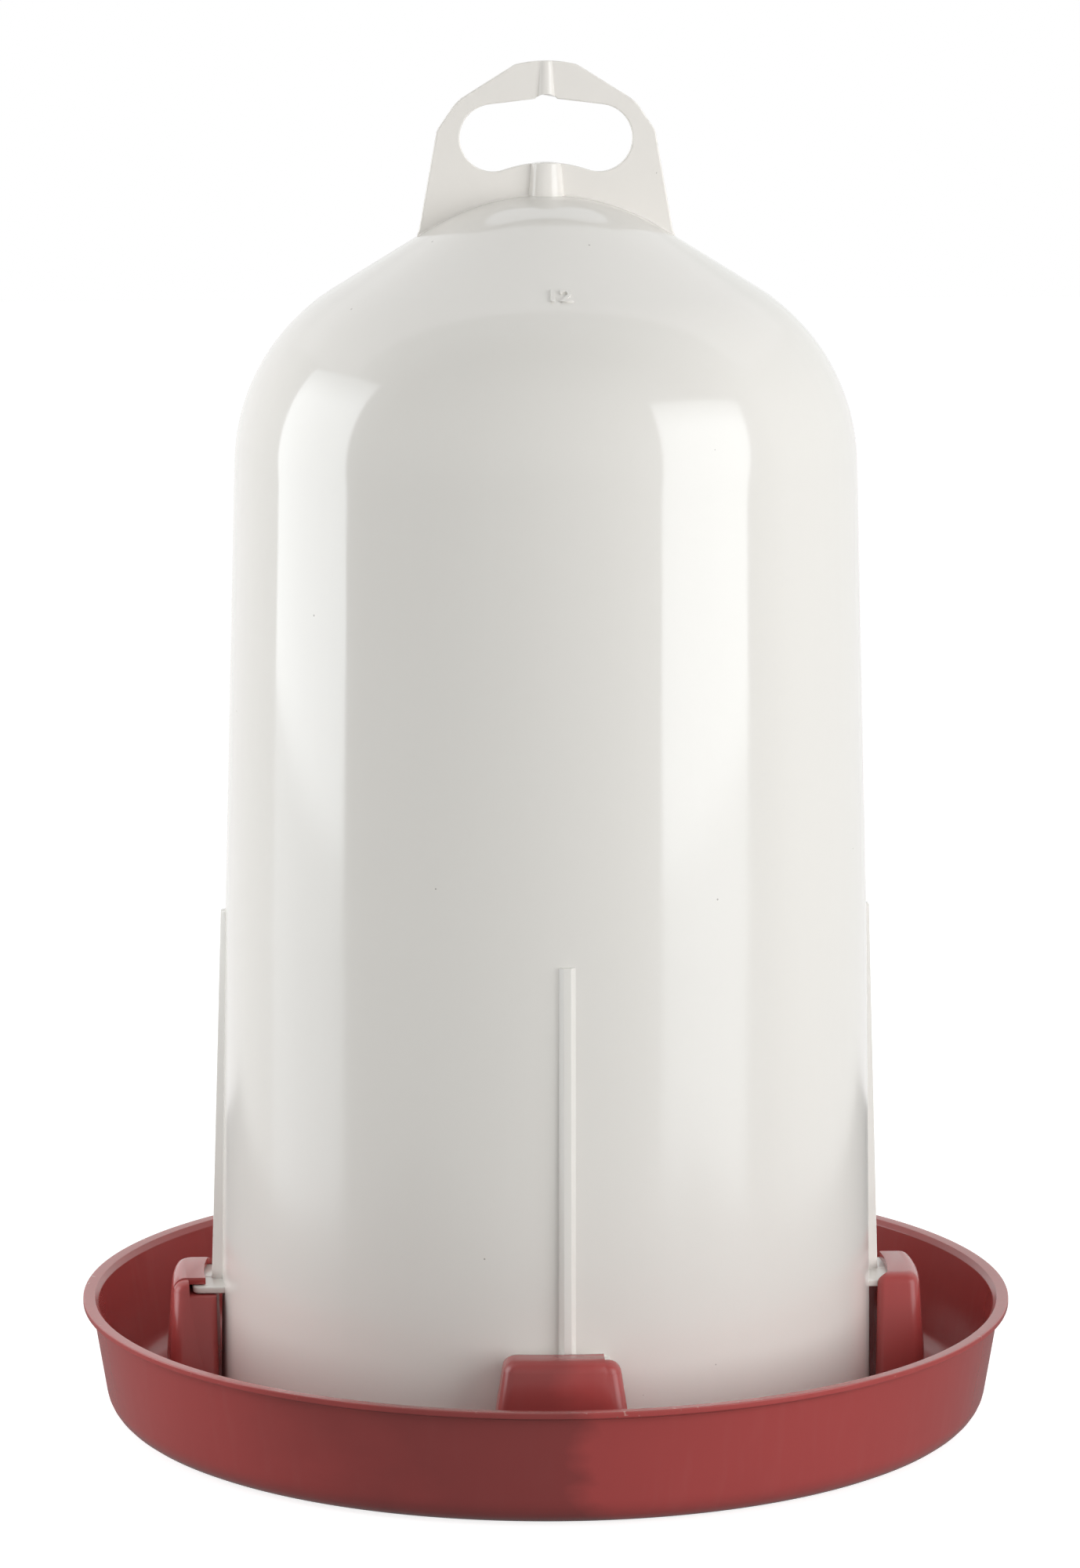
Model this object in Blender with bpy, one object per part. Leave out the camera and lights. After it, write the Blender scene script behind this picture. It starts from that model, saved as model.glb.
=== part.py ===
"""Double-cylinder siphon drinker for poultry: a red trough with four bayonet hooks,
an open-topped water tank that stands in it, and a white outer cylinder with a
carrying handle that slides over the tank and locks under the hooks.

Metres, +Z up. The origin is the centre of the trough's foot, on the ground.
The outer cylinder turns about the Z axis. Angle 0 is locked.
"""
import math

import bmesh
import bpy
from mathutils import Matrix

# Clearances between pieces
SEAT_GAP = 0.0003            # between a piece and what it stands on or is moulded to
LOCK_GAP = 0.0003            # between a lug and the closed end of its hook
SLOT_HEADROOM = 0.0005       # above a lug in its slot
SLOT_DEPTH_GAP = 0.0018      # between a lug's edge and the back of its slot
HOOK_WALL_GAP = 0.0034       # between the hooks and the outer cylinder
CAP_SETBACK = 0.0036         # the hook's cap stands back from its inner face
SEAT_PLAY = 0.0005           # between the tank's foot and its locating ring
TANK_SIDE_GAP = 0.0042       # between the tank's rim and the outer cylinder

# Trough
TROUGH_RADIUS = 0.1770
TROUGH_HEIGHT = 0.0450
TROUGH_WALL = 0.0024
TROUGH_FLARE = 0.0068        # how much wider the wall is at its top than at the ground
BASE_ROUND = 0.0120
LIP_WIDTH = 0.0044           # of the lip's upper face
LIP_RISE = 0.0002            # of that face from its inner edge to its outer one
LIP_FACE = 0.0021            # height of the lip's upright outer face
LIP_UNDERCUT = 0.0035        # how far the lip stands out over the wall
LIP_DROP = 0.0013            # height of the slanted underside below the upright face
PLATEAU_RISE = 0.0010
PLATEAU_SHELF = 0.0034       # raised floor outside the locating ring
RING_WIDTH = 0.0025
RING_HEIGHT = 0.0040

# Outer cylinder
COVER_FOOT_Z = 0.0100
COVER_FOOT_RADIUS = 0.1246
COVER_BREAK_Z = 0.1935       # here the wall's draft changes and the ribs end
COVER_BREAK_RADIUS = 0.1215
SHOULDER_Z = 0.3634
SHOULDER_RADIUS = 0.1166
SHOULDER_ROUND = 0.0780
DOME_SLOPE = math.radians(31.5)
CAP_ROUND = 0.0820
COVER_WALL = 0.0022

# Lugs and ribs on the outer cylinder
LUG_COUNT = 4
LUG_TOP = 0.0508
LUG_THICKNESS = 0.0026
LUG_REACH = 0.0119           # how far a lug stands out of the wall
LUG_HALF_WIDTH = 0.0178
LUG_CORNER = 0.0030
LUG_LAG = math.radians(1.1)  # the lugs sit this far clockwise of the ribs
RIB_WIDTH = 0.0060
RIB_CREST_WIDTH = 0.0026
RIB_REACH_LOW = 0.0040
RIB_REACH_HIGH = 0.0017

# Hooks on the trough
HOOK_DEPTH_TOP = 0.0155
HOOK_DEPTH_FOOT = 0.0195
HOOK_HALF_TOP = 0.0205
HOOK_HALF_FOOT = 0.0285
HOOK_CAP = 0.0025
HOOK_END_WALL = 0.0024
HOOK_CORNER = 0.0050
HOOK_INNER_CORNER = 0.0015
HOOK_TOP_ROUND = 0.0040
CUT_PAST = 0.0080            # how far a slot's cutter reaches past the hook

# Carrying handle, a flat web in the XZ plane on the crown of the dome
HANDLE_THICKNESS = 0.0036
HANDLE_RISE = 0.0495         # top of the handle above the crown
HANDLE_TOP_ROUND = 0.0500
HANDLE_TOP_HALF = 0.0115
HANDLE_SHOULDER_HALF = 0.0389
HANDLE_SHOULDER_RISE = 0.0317
HANDLE_SHOULDER_ROUND = 0.0120
HANDLE_TOP_CORNER = 0.0040
HANDLE_FOOT_HALF = 0.0490
HANDLE_FOOT_SINK = 0.0050    # the handle is drawn this far into the dome, then cut to it
GRIP_END_ROUND = 0.0116
GRIP_END_X = 0.0210
GRIP_END_RISE = 0.0200
GRIP_TOP_ROUND = 0.0620
GRIP_LOW_ROUND = 0.0480
NOTCH_ROUND = 0.0047
NOTCH_RISE = 0.0011          # the notch above the top of the finger hole
TOP_BOSS_RADIUS = 0.0028
TOP_BOSS_ROOT_RADIUS = 0.0036
TOP_BOSS_DROP = 0.0006       # the upper boss ends this far below the handle's top
CROWN_BOSS_RADIUS = 0.0059
CROWN_BOSS_ROOT_RADIUS = 0.0070

# Inner tank
TANK_HEADROOM = 0.0017       # the tank's rim below the shoulder
TANK_WALL = 0.0020
TANK_FLOOR = 0.0025
TANK_FOOT_RADIUS = 0.1036
TANK_FOOT_CHAMFER = 0.0025
TANK_RIM_REACH = 0.0015
TANK_RIM_HEIGHT = 0.0040
OUTLET_RADIUS = 0.0040
OUTLET_RISE = 0.0100         # centre of each outlet above the tank's foot
OUTLET_COUNT = 2
OUTLET_ANGLE = math.radians(45)

# Faceting
ROUND_STEPS = 72
CORNER_STEPS = 4
DOME_STEPS = 5
SHOULDER_STEPS = 8
BASE_STEPS = 4
HOLE_STEPS = 16
SHARP_ANGLE = math.radians(35)

WHITE = (0.80, 0.79, 0.76, 1.0)
RED = (0.42, 0.030, 0.035, 1.0)
NATURAL = (0.74, 0.74, 0.71, 1.0)


# Plane geometry

def arc(centre, radius, start, end, steps):
    """Points of an arc from one angle to another, both ends included."""
    points = []
    for i in range(steps + 1):
        angle = start + (end - start) * i / steps
        points.append((centre[0] + radius * math.cos(angle), centre[1] + radius * math.sin(angle)))
    return points


def rounded_outline(corners, steps=CORNER_STEPS):
    """A closed outline from (x, y, radius) corners, each rounded by its own radius."""
    outline = []
    count = len(corners)
    for i, (x, y, radius) in enumerate(corners):
        if radius <= 0.0:
            outline.append((x, y))
            continue
        before = corners[i - 1]
        after = corners[(i + 1) % count]
        ax, ay = before[0] - x, before[1] - y
        bx, by = after[0] - x, after[1] - y
        a_len, b_len = math.hypot(ax, ay), math.hypot(bx, by)
        ax, ay, bx, by = ax / a_len, ay / a_len, bx / b_len, by / b_len
        half = 0.5 * math.acos(max(-1.0, min(1.0, ax * bx + ay * by)))
        reach = radius / math.tan(half)
        mid = math.hypot(ax + bx, ay + by)
        away = radius / math.sin(half)
        centre = (x + (ax + bx) / mid * away, y + (ay + by) / mid * away)
        start = math.atan2(y + ay * reach - centre[1], x + ax * reach - centre[0])
        end = math.atan2(y + by * reach - centre[1], x + bx * reach - centre[0])
        turn = (end - start + math.pi) % (2.0 * math.pi) - math.pi
        outline += arc(centre, radius, start, start + turn, steps)
    return outline


def line_mix(low, high, share):
    return low + (high - low) * share


# Sizes worked out from the driving ones

WALL_DRAFT = math.atan((COVER_BREAK_RADIUS - SHOULDER_RADIUS) / (SHOULDER_Z - COVER_BREAK_Z))
SHOULDER_CENTRE = (SHOULDER_RADIUS - SHOULDER_ROUND * math.cos(WALL_DRAFT),
                   SHOULDER_Z - SHOULDER_ROUND * math.sin(WALL_DRAFT))
CONE_NORMAL = math.pi / 2.0 - DOME_SLOPE
CONE_FOOT = (SHOULDER_CENTRE[0] + SHOULDER_ROUND * math.cos(CONE_NORMAL),
             SHOULDER_CENTRE[1] + SHOULDER_ROUND * math.sin(CONE_NORMAL))
CONE_HEAD_RADIUS = CAP_ROUND * math.sin(DOME_SLOPE)
CONE_HEAD_Z = CONE_FOOT[1] + (CONE_FOOT[0] - CONE_HEAD_RADIUS) * math.tan(DOME_SLOPE)
CAP_CENTRE = (0.0, CONE_HEAD_Z - CAP_ROUND * math.cos(DOME_SLOPE))
CROWN_Z = CAP_CENTRE[1] + CAP_ROUND


def cover_radius(z):
    """Outer radius of the outer cylinder's wall at a height below the shoulder."""
    if z <= COVER_BREAK_Z:
        share = (z - COVER_FOOT_Z) / (COVER_BREAK_Z - COVER_FOOT_Z)
        return line_mix(COVER_FOOT_RADIUS, COVER_BREAK_RADIUS, share)
    share = (z - COVER_BREAK_Z) / (SHOULDER_Z - COVER_BREAK_Z)
    return line_mix(COVER_BREAK_RADIUS, SHOULDER_RADIUS, share)


def dome_height(radius):
    """Height of the dome's outside at a distance from the axis, on its cap or its cone."""
    if radius <= CONE_HEAD_RADIUS:
        return CAP_CENTRE[1] + math.sqrt(CAP_ROUND ** 2 - radius ** 2)
    return CONE_HEAD_Z - (radius - CONE_HEAD_RADIUS) * math.tan(DOME_SLOPE)


FLOOR_Z = TROUGH_WALL
PLATEAU_Z = FLOOR_Z + PLATEAU_RISE
RING_INNER_RADIUS = TANK_FOOT_RADIUS + SEAT_PLAY
PLATEAU_RADIUS = RING_INNER_RADIUS + RING_WIDTH + PLATEAU_SHELF
LUG_BOTTOM = LUG_TOP - LUG_THICKNESS
LUG_RADIUS = cover_radius(LUG_TOP) + LUG_REACH
SLOT_FLOOR = LUG_BOTTOM - SEAT_GAP
SLOT_TOP = LUG_TOP + SLOT_HEADROOM
HOOK_TOP = SLOT_TOP + HOOK_CAP
HOOK_FOOT_Z = FLOOR_Z + SEAT_GAP
HOOK_INNER_RADIUS = cover_radius(LUG_TOP) + HOOK_WALL_GAP
SLOT_RADIUS = LUG_RADIUS + SLOT_DEPTH_GAP
SLOT_END = HOOK_HALF_TOP - HOOK_END_WALL
HOOK_LAG = LUG_LAG + math.asin((LUG_HALF_WIDTH + LOCK_GAP - SLOT_END) / HOOK_INNER_RADIUS)
TANK_FOOT_Z = PLATEAU_Z + SEAT_GAP
TANK_TOP = SHOULDER_Z - TANK_HEADROOM
TANK_RIM_RADIUS = cover_radius(TANK_TOP) - COVER_WALL - TANK_SIDE_GAP


# Meshes and objects

def make_material(name, colour, roughness):
    material = bpy.data.materials.new(name)
    material.use_nodes = True
    shader = material.node_tree.nodes["Principled BSDF"]
    shader.inputs["Base Color"].default_value = colour
    shader.inputs["Roughness"].default_value = roughness
    shader.inputs["Metallic"].default_value = 0.0
    return material


def add_object(name, mesh, material=None, parent=None, turn=0.0):
    """Links an object whose origin is on the Z axis, turned about it."""
    piece = bpy.data.objects.new(name, mesh)
    bpy.context.scene.collection.objects.link(piece)
    piece.rotation_euler = (0.0, 0.0, turn)
    if material is not None:
        mesh.materials.clear()
        mesh.materials.append(material)
    piece.parent = parent
    return piece


def finish_mesh(name, bm):
    bmesh.ops.recalc_face_normals(bm, faces=bm.faces)
    mesh = bpy.data.meshes.new(name)
    bm.to_mesh(mesh)
    bm.free()
    mesh.shade_smooth()
    mesh.set_sharp_from_angle(angle=SHARP_ANGLE)
    return mesh


def turned_mesh(name, profile):
    """Spins an open (radius, z) profile, whose ends lie on the axis, into a closed solid."""
    bm = bmesh.new()
    verts = [bm.verts.new((radius, 0.0, z)) for radius, z in profile]
    edges = [bm.edges.new(pair) for pair in zip(verts, verts[1:])]
    bmesh.ops.spin(bm, geom=verts + edges, cent=(0, 0, 0), axis=(0, 0, 1),
                   angle=2.0 * math.pi, steps=ROUND_STEPS, use_merge=True)
    bmesh.ops.remove_doubles(bm, verts=bm.verts, dist=0.00002)
    return finish_mesh(name, bm)


def lofted_mesh(name, rings):
    """Joins closed rings of equal length, given as lists of (x, y, z), and caps both ends."""
    bm = bmesh.new()
    loops = [[bm.verts.new(point) for point in ring] for ring in rings]
    count = len(rings[0])
    for low, high in zip(loops, loops[1:]):
        for i in range(count):
            j = (i + 1) % count
            bm.faces.new((low[i], low[j], high[j], high[i]))
    bm.faces.new(loops[0])
    bm.faces.new(loops[-1])
    return finish_mesh(name, bm)


def upright_mesh(name, outline, low, high):
    """A prism from a plan outline."""
    return lofted_mesh(name, [[(x, y, z) for x, y in outline] for z in (low, high)])


def web_mesh(name, outline, thickness):
    """A prism from an outline in the XZ plane, centred on that plane."""
    rings = [[(x, y, z) for x, z in outline] for y in (-thickness / 2.0, thickness / 2.0)]
    return lofted_mesh(name, rings)


def apply_boolean(piece, tool, operation):
    """Joins or cuts a piece with a tool object, keeps the result and drops the tool."""
    modifier = piece.modifiers.new("fit", "BOOLEAN")
    modifier.operation = operation
    modifier.solver = "EXACT"
    modifier.object = tool
    graph = bpy.context.evaluated_depsgraph_get()
    result = bpy.data.meshes.new_from_object(piece.evaluated_get(graph))
    result.shade_smooth()
    result.set_sharp_from_angle(angle=SHARP_ANGLE)
    piece.modifiers.clear()
    piece.data = result
    bpy.data.objects.remove(tool)


# Trough

def trough_profile():
    """From the middle of the floor, out over the lip and back under the foot."""
    lip_low = (TROUGH_RADIUS, TROUGH_HEIGHT - LIP_FACE)
    wall_top = (TROUGH_RADIUS - LIP_UNDERCUT, lip_low[1] - LIP_DROP)
    inner_top = (wall_top[0] - TROUGH_WALL, lip_low[1])
    base_radius = wall_top[0] - TROUGH_FLARE
    draft = math.atan2(TROUGH_FLARE, wall_top[1])
    tilt = math.pi / 2.0 + draft
    reach = BASE_ROUND / math.tan(tilt / 2.0)
    round_centre = (base_radius - reach, BASE_ROUND)
    inner_round = BASE_ROUND - TROUGH_WALL
    lip_inner = (TROUGH_RADIUS - LIP_WIDTH, TROUGH_HEIGHT - LIP_RISE)
    ring_outer = RING_INNER_RADIUS + RING_WIDTH
    profile = [(0.0, PLATEAU_Z), (RING_INNER_RADIUS, PLATEAU_Z), (RING_INNER_RADIUS, PLATEAU_Z + RING_HEIGHT),
               (ring_outer, PLATEAU_Z + RING_HEIGHT), (ring_outer, PLATEAU_Z), (PLATEAU_RADIUS, PLATEAU_Z),
               (PLATEAU_RADIUS + PLATEAU_RISE, FLOOR_Z)]
    profile += arc(round_centre, inner_round, -math.pi / 2.0, -draft, BASE_STEPS)
    profile += [inner_top, lip_inner, (TROUGH_RADIUS, TROUGH_HEIGHT), lip_low, wall_top]
    profile += arc(round_centre, BASE_ROUND, -draft, -math.pi / 2.0, BASE_STEPS)
    profile += [(PLATEAU_RADIUS + PLATEAU_RISE, 0.0), (PLATEAU_RADIUS, PLATEAU_RISE), (0.0, PLATEAU_RISE)]
    return profile


def build_trough(red):
    return add_object("trough", turned_mesh("trough", trough_profile()), red)


# Bayonet hooks

def hook_ring(z, inset):
    """Plan outline of a hook at one height, drawn in by an inset. X is radial."""
    share = (z - HOOK_FOOT_Z) / (HOOK_TOP - HOOK_FOOT_Z)
    half = line_mix(HOOK_HALF_FOOT, HOOK_HALF_TOP, share) - inset
    inner = HOOK_INNER_RADIUS + inset
    outer = HOOK_INNER_RADIUS + line_mix(HOOK_DEPTH_FOOT, HOOK_DEPTH_TOP, share) - inset
    outer_corner = HOOK_CORNER - 0.5 * inset
    inner_corner = HOOK_INNER_CORNER - 0.25 * inset
    corners = []
    for part, rounding in ((-1.0, inner_corner), (0.0, 0.0), (1.0, inner_corner)):
        y = -part * half
        corners.append((math.sqrt(inner ** 2 - y ** 2), y, rounding))
    for part, rounding in ((-1.0, outer_corner), (-0.4, 0.0), (0.4, 0.0), (1.0, outer_corner)):
        y = part * half
        corners.append((math.sqrt(outer ** 2 - y ** 2), y, rounding))
    return [(x, y, z) for x, y in rounded_outline(corners, CORNER_STEPS - 1)]


def slot_tool(name, radius, low, high):
    """A cutter from inside the hook out to a radius, open past its leading end."""
    inside = HOOK_INNER_RADIUS - CUT_PAST
    past_end = HOOK_HALF_FOOT + CUT_PAST
    start = -math.asin(SLOT_END / radius)
    end = math.asin(past_end / radius)
    outline = [(inside, past_end), (inside, -SLOT_END)]
    outline += arc((0.0, 0.0), radius, start, end, 2 * CORNER_STEPS)
    return add_object(name, upright_mesh(name, outline, low, high))


def build_hooks(red):
    rings = [hook_ring(HOOK_FOOT_Z, 0.0), hook_ring(HOOK_TOP - HOOK_TOP_ROUND, 0.0)]
    for i in range(1, CORNER_STEPS):
        angle = 0.5 * math.pi * i / (CORNER_STEPS - 1)
        rings.append(hook_ring(HOOK_TOP - HOOK_TOP_ROUND * (1.0 - math.sin(angle)),
                               HOOK_TOP_ROUND * (1.0 - math.cos(angle))))
    master = add_object("hook_master", lofted_mesh("hook", rings))
    lug_slot = slot_tool("lug_slot", SLOT_RADIUS, SLOT_FLOOR, SLOT_TOP)
    apply_boolean(master, lug_slot, "DIFFERENCE")
    cap_radius = HOOK_INNER_RADIUS + CAP_SETBACK
    mid_slot = 0.5 * (SLOT_FLOOR + SLOT_TOP)
    cap_edge = slot_tool("cap_edge", cap_radius, mid_slot, HOOK_TOP + CUT_PAST)
    apply_boolean(master, cap_edge, "DIFFERENCE")
    mesh = master.data
    bpy.data.objects.remove(master)
    for name, angle in around():
        add_object("bayonet_hook_" + name, mesh, red, turn=angle - HOOK_LAG)


def around():
    """Names and angles of the four places where the outer cylinder locks."""
    names = ("right", "rear", "left", "front")
    return [(names[i % len(names)] + ("" if i < len(names) else str(i)), 2.0 * math.pi * i / LUG_COUNT)
            for i in range(LUG_COUNT)]


# Outer cylinder

def cover_profile(inset):
    """The cylinder's section from crown to foot, drawn in by an inset."""
    profile = [(0.0, CROWN_Z - inset)]
    profile += arc(CAP_CENTRE, CAP_ROUND - inset, math.pi / 2.0, CONE_NORMAL, DOME_STEPS)[1:]
    profile += arc(SHOULDER_CENTRE, SHOULDER_ROUND - inset, CONE_NORMAL, WALL_DRAFT, SHOULDER_STEPS)
    profile += [(COVER_BREAK_RADIUS - inset, COVER_BREAK_Z), (COVER_FOOT_RADIUS - inset, COVER_FOOT_Z)]
    return profile


def build_cover(white, pivot):
    profile = cover_profile(0.0) + cover_profile(COVER_WALL)[::-1]
    return add_object("outer_cylinder", turned_mesh("outer_cylinder", profile), white, pivot)


def build_lugs(white, pivot):
    root = cover_radius(LUG_BOTTOM) + SEAT_GAP
    corners = []
    for part in (1.0, 0.5, 0.0, -0.5, -1.0):
        y = part * LUG_HALF_WIDTH
        corners.append((math.sqrt(root ** 2 - y ** 2), y, 0.0))
    for part, rounding in ((-1.0, LUG_CORNER), (-0.4, 0.0), (0.4, 0.0), (1.0, LUG_CORNER)):
        y = part * LUG_HALF_WIDTH
        corners.append((math.sqrt(LUG_RADIUS ** 2 - y ** 2), y, rounding))
    mesh = upright_mesh("bayonet_lug", rounded_outline(corners), LUG_BOTTOM, LUG_TOP)
    for name, angle in around():
        add_object("bayonet_lug_" + name, mesh, white, pivot, angle - LUG_LAG)


def rib_ring(z, reach):
    root = cover_radius(z) + SEAT_GAP
    crest = cover_radius(z) + reach
    waist = 0.5 * (root + crest)
    half = RIB_WIDTH / 2.0
    crest_half = RIB_CREST_WIDTH / 2.0
    plan = [(root, half), (root, -half), (waist, -half), (crest, -crest_half), (crest, crest_half),
            (waist, half)]
    return [(x, y, z) for x, y in plan]


def build_ribs(white, pivot):
    low = LUG_TOP + SEAT_GAP
    rings = [rib_ring(low, RIB_REACH_LOW), rib_ring(COVER_BREAK_Z, RIB_REACH_HIGH)]
    mesh = lofted_mesh("guide_rib", rings)
    for name, angle in around():
        add_object("guide_rib_" + name, mesh, white, pivot, angle)


# Carrying handle

def handle_outline():
    """Outline of the web in X and Z, its foot carried down into the dome."""
    top = CROWN_Z + HANDLE_RISE
    top_centre = (0.0, top - HANDLE_TOP_ROUND)
    top_half_angle = math.asin(HANDLE_TOP_HALF / HANDLE_TOP_ROUND)
    corner_z = top_centre[1] + HANDLE_TOP_ROUND * math.cos(top_half_angle)
    shoulder_z = CROWN_Z + HANDLE_SHOULDER_RISE
    foot_z = dome_height(HANDLE_FOOT_HALF) - HANDLE_FOOT_SINK
    right = [(HANDLE_FOOT_HALF, foot_z, 0.0), (HANDLE_SHOULDER_HALF, shoulder_z, HANDLE_SHOULDER_ROUND),
             (HANDLE_TOP_HALF, corner_z, HANDLE_TOP_CORNER)]
    middle = [(x, z, 0.0) for x, z in arc(top_centre, HANDLE_TOP_ROUND, math.pi / 2.0 - 0.5 * top_half_angle,
                                          math.pi / 2.0 + 0.5 * top_half_angle, 2)]
    left = [(-x, z, rounding) for x, z, rounding in reversed(right)]
    return rounded_outline(right + middle + left)


def grip_top_centre():
    """Height of the centre of the arc along the top of the finger hole."""
    return CROWN_Z + GRIP_END_RISE - math.sqrt((GRIP_TOP_ROUND - GRIP_END_ROUND) ** 2 - GRIP_END_X ** 2)


def grip_outline():
    """The finger hole: two round ends joined by a high arc and a low one, all tangent."""
    end_z = CROWN_Z + GRIP_END_RISE
    top_z = grip_top_centre()
    low_z = end_z - math.sqrt((GRIP_LOW_ROUND + GRIP_END_ROUND) ** 2 - GRIP_END_X ** 2)
    top_angle = math.atan2(end_z - top_z, GRIP_END_X)
    low_angle = math.atan2(end_z - low_z, GRIP_END_X)
    outline = arc((0.0, top_z), GRIP_TOP_ROUND, top_angle, math.pi - top_angle, 2 * CORNER_STEPS)[1:-1]
    outline += arc((-GRIP_END_X, end_z), GRIP_END_ROUND, math.pi - top_angle, 2.0 * math.pi - low_angle,
                   3 * CORNER_STEPS)
    outline += arc((0.0, low_z), GRIP_LOW_ROUND, math.pi - low_angle, low_angle, 2 * CORNER_STEPS)[1:-1]
    outline += arc((GRIP_END_X, end_z), GRIP_END_ROUND, math.pi + low_angle, 2.0 * math.pi + top_angle,
                   3 * CORNER_STEPS)
    return outline


def boss(name, low_radius, high_radius, low, high):
    """A tapered round boss on the Z axis."""
    rings = []
    for radius, z in ((low_radius, low), (high_radius, high)):
        rings.append([(x, y, z) for x, y in arc((0.0, 0.0), radius, 0.0, 2.0 * math.pi, HOLE_STEPS)[:-1]])
    return add_object(name, lofted_mesh(name, rings))


def build_handle(white, pivot):
    handle = add_object("carry_handle", web_mesh("carry_handle", handle_outline(), HANDLE_THICKNESS))
    top = CROWN_Z + HANDLE_RISE
    grip_floor = CROWN_Z + GRIP_END_RISE - GRIP_END_ROUND / 2.0
    notch_z = grip_top_centre() + GRIP_TOP_ROUND + NOTCH_RISE - NOTCH_ROUND
    crown_boss = boss("crown_boss", CROWN_BOSS_ROOT_RADIUS, CROWN_BOSS_RADIUS, CROWN_Z - HANDLE_FOOT_SINK,
                      grip_floor)
    apply_boolean(handle, crown_boss, "UNION")
    top_boss = boss("top_boss", TOP_BOSS_ROOT_RADIUS, TOP_BOSS_RADIUS, notch_z, top - TOP_BOSS_DROP)
    apply_boolean(handle, top_boss, "UNION")
    depth = 4.0 * CROWN_BOSS_ROOT_RADIUS
    grip = add_object("grip", web_mesh("grip", grip_outline(), depth))
    apply_boolean(handle, grip, "DIFFERENCE")
    notch_outline = arc((0.0, notch_z), NOTCH_ROUND, 0.0, 2.0 * math.pi, HOLE_STEPS)[:-1]
    notch = add_object("notch", web_mesh("notch", notch_outline, depth))
    apply_boolean(handle, notch, "DIFFERENCE")
    seat_profile = cover_profile(-SEAT_GAP)[:-2] + [(0.0, SHOULDER_Z)]
    dome = add_object("dome_seat", turned_mesh("dome_seat", seat_profile))
    apply_boolean(handle, dome, "DIFFERENCE")
    handle.data.materials.clear()
    handle.data.materials.append(white)
    handle.parent = pivot
    return handle


# Inner tank

def build_tank(natural, pivot):
    wall_top = TANK_RIM_RADIUS - TANK_RIM_REACH
    rim_low = TANK_TOP - TANK_RIM_HEIGHT
    floor = TANK_FOOT_Z + TANK_FLOOR
    profile = [(0.0, floor), (TANK_FOOT_RADIUS - TANK_WALL - TANK_FOOT_CHAMFER, floor),
               (TANK_FOOT_RADIUS - TANK_WALL, floor + TANK_FOOT_CHAMFER), (wall_top - TANK_WALL, TANK_TOP),
               (TANK_RIM_RADIUS, TANK_TOP), (TANK_RIM_RADIUS, rim_low), (wall_top, rim_low - TANK_RIM_REACH),
               (TANK_FOOT_RADIUS, TANK_FOOT_Z + TANK_FOOT_CHAMFER),
               (TANK_FOOT_RADIUS - TANK_FOOT_CHAMFER, TANK_FOOT_Z), (0.0, TANK_FOOT_Z)]
    tank = add_object("inner_tank", turned_mesh("inner_tank", profile))
    for i in range(OUTLET_COUNT):
        ring = arc((0.0, TANK_FOOT_Z + OUTLET_RISE), OUTLET_RADIUS, 0.0, 2.0 * math.pi, HOLE_STEPS)[:-1]
        rings = [[(x, y, z) for y, z in ring] for x in (0.8 * TANK_FOOT_RADIUS, 1.2 * TANK_FOOT_RADIUS)]
        angle = OUTLET_ANGLE + 2.0 * math.pi * i / OUTLET_COUNT
        drill_mesh = lofted_mesh("outlet", rings)
        drill_mesh.transform(Matrix.Rotation(angle, 4, "Z"))
        apply_boolean(tank, add_object("outlet", drill_mesh), "DIFFERENCE")
    tank.data.materials.clear()
    tank.data.materials.append(natural)
    tank.parent = pivot
    return tank


def add_pivot(name):
    """An empty on the Z axis that carries one moving body."""
    pivot = bpy.data.objects.new(name, None)
    bpy.context.scene.collection.objects.link(pivot)
    return pivot


def main():
    for item in list(bpy.data.objects):
        bpy.data.objects.remove(item)
    white = make_material("white_plastic", WHITE, 0.25)
    red = make_material("red_plastic", RED, 0.25)
    natural = make_material("natural_plastic", NATURAL, 0.35)
    build_trough(red)
    build_hooks(red)
    cover_pivot = add_pivot("cover_turn_axis")
    build_cover(white, cover_pivot)
    build_lugs(white, cover_pivot)
    build_ribs(white, cover_pivot)
    build_handle(white, cover_pivot)
    build_tank(natural, add_pivot("tank_lift_axis"))


main()
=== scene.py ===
"""The looks of a double-cylinder poultry drinker: finely turned cover and trough, hooks,
handle, ribs and lugs in moulded plastic, on a white studio floor. Metres, +Z up."""
import math

import bmesh
import bpy
from bpy.props import (FloatProperty, FloatVectorProperty, IntProperty, PointerProperty,
                       StringProperty)
from mathutils import Matrix, Vector


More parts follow.
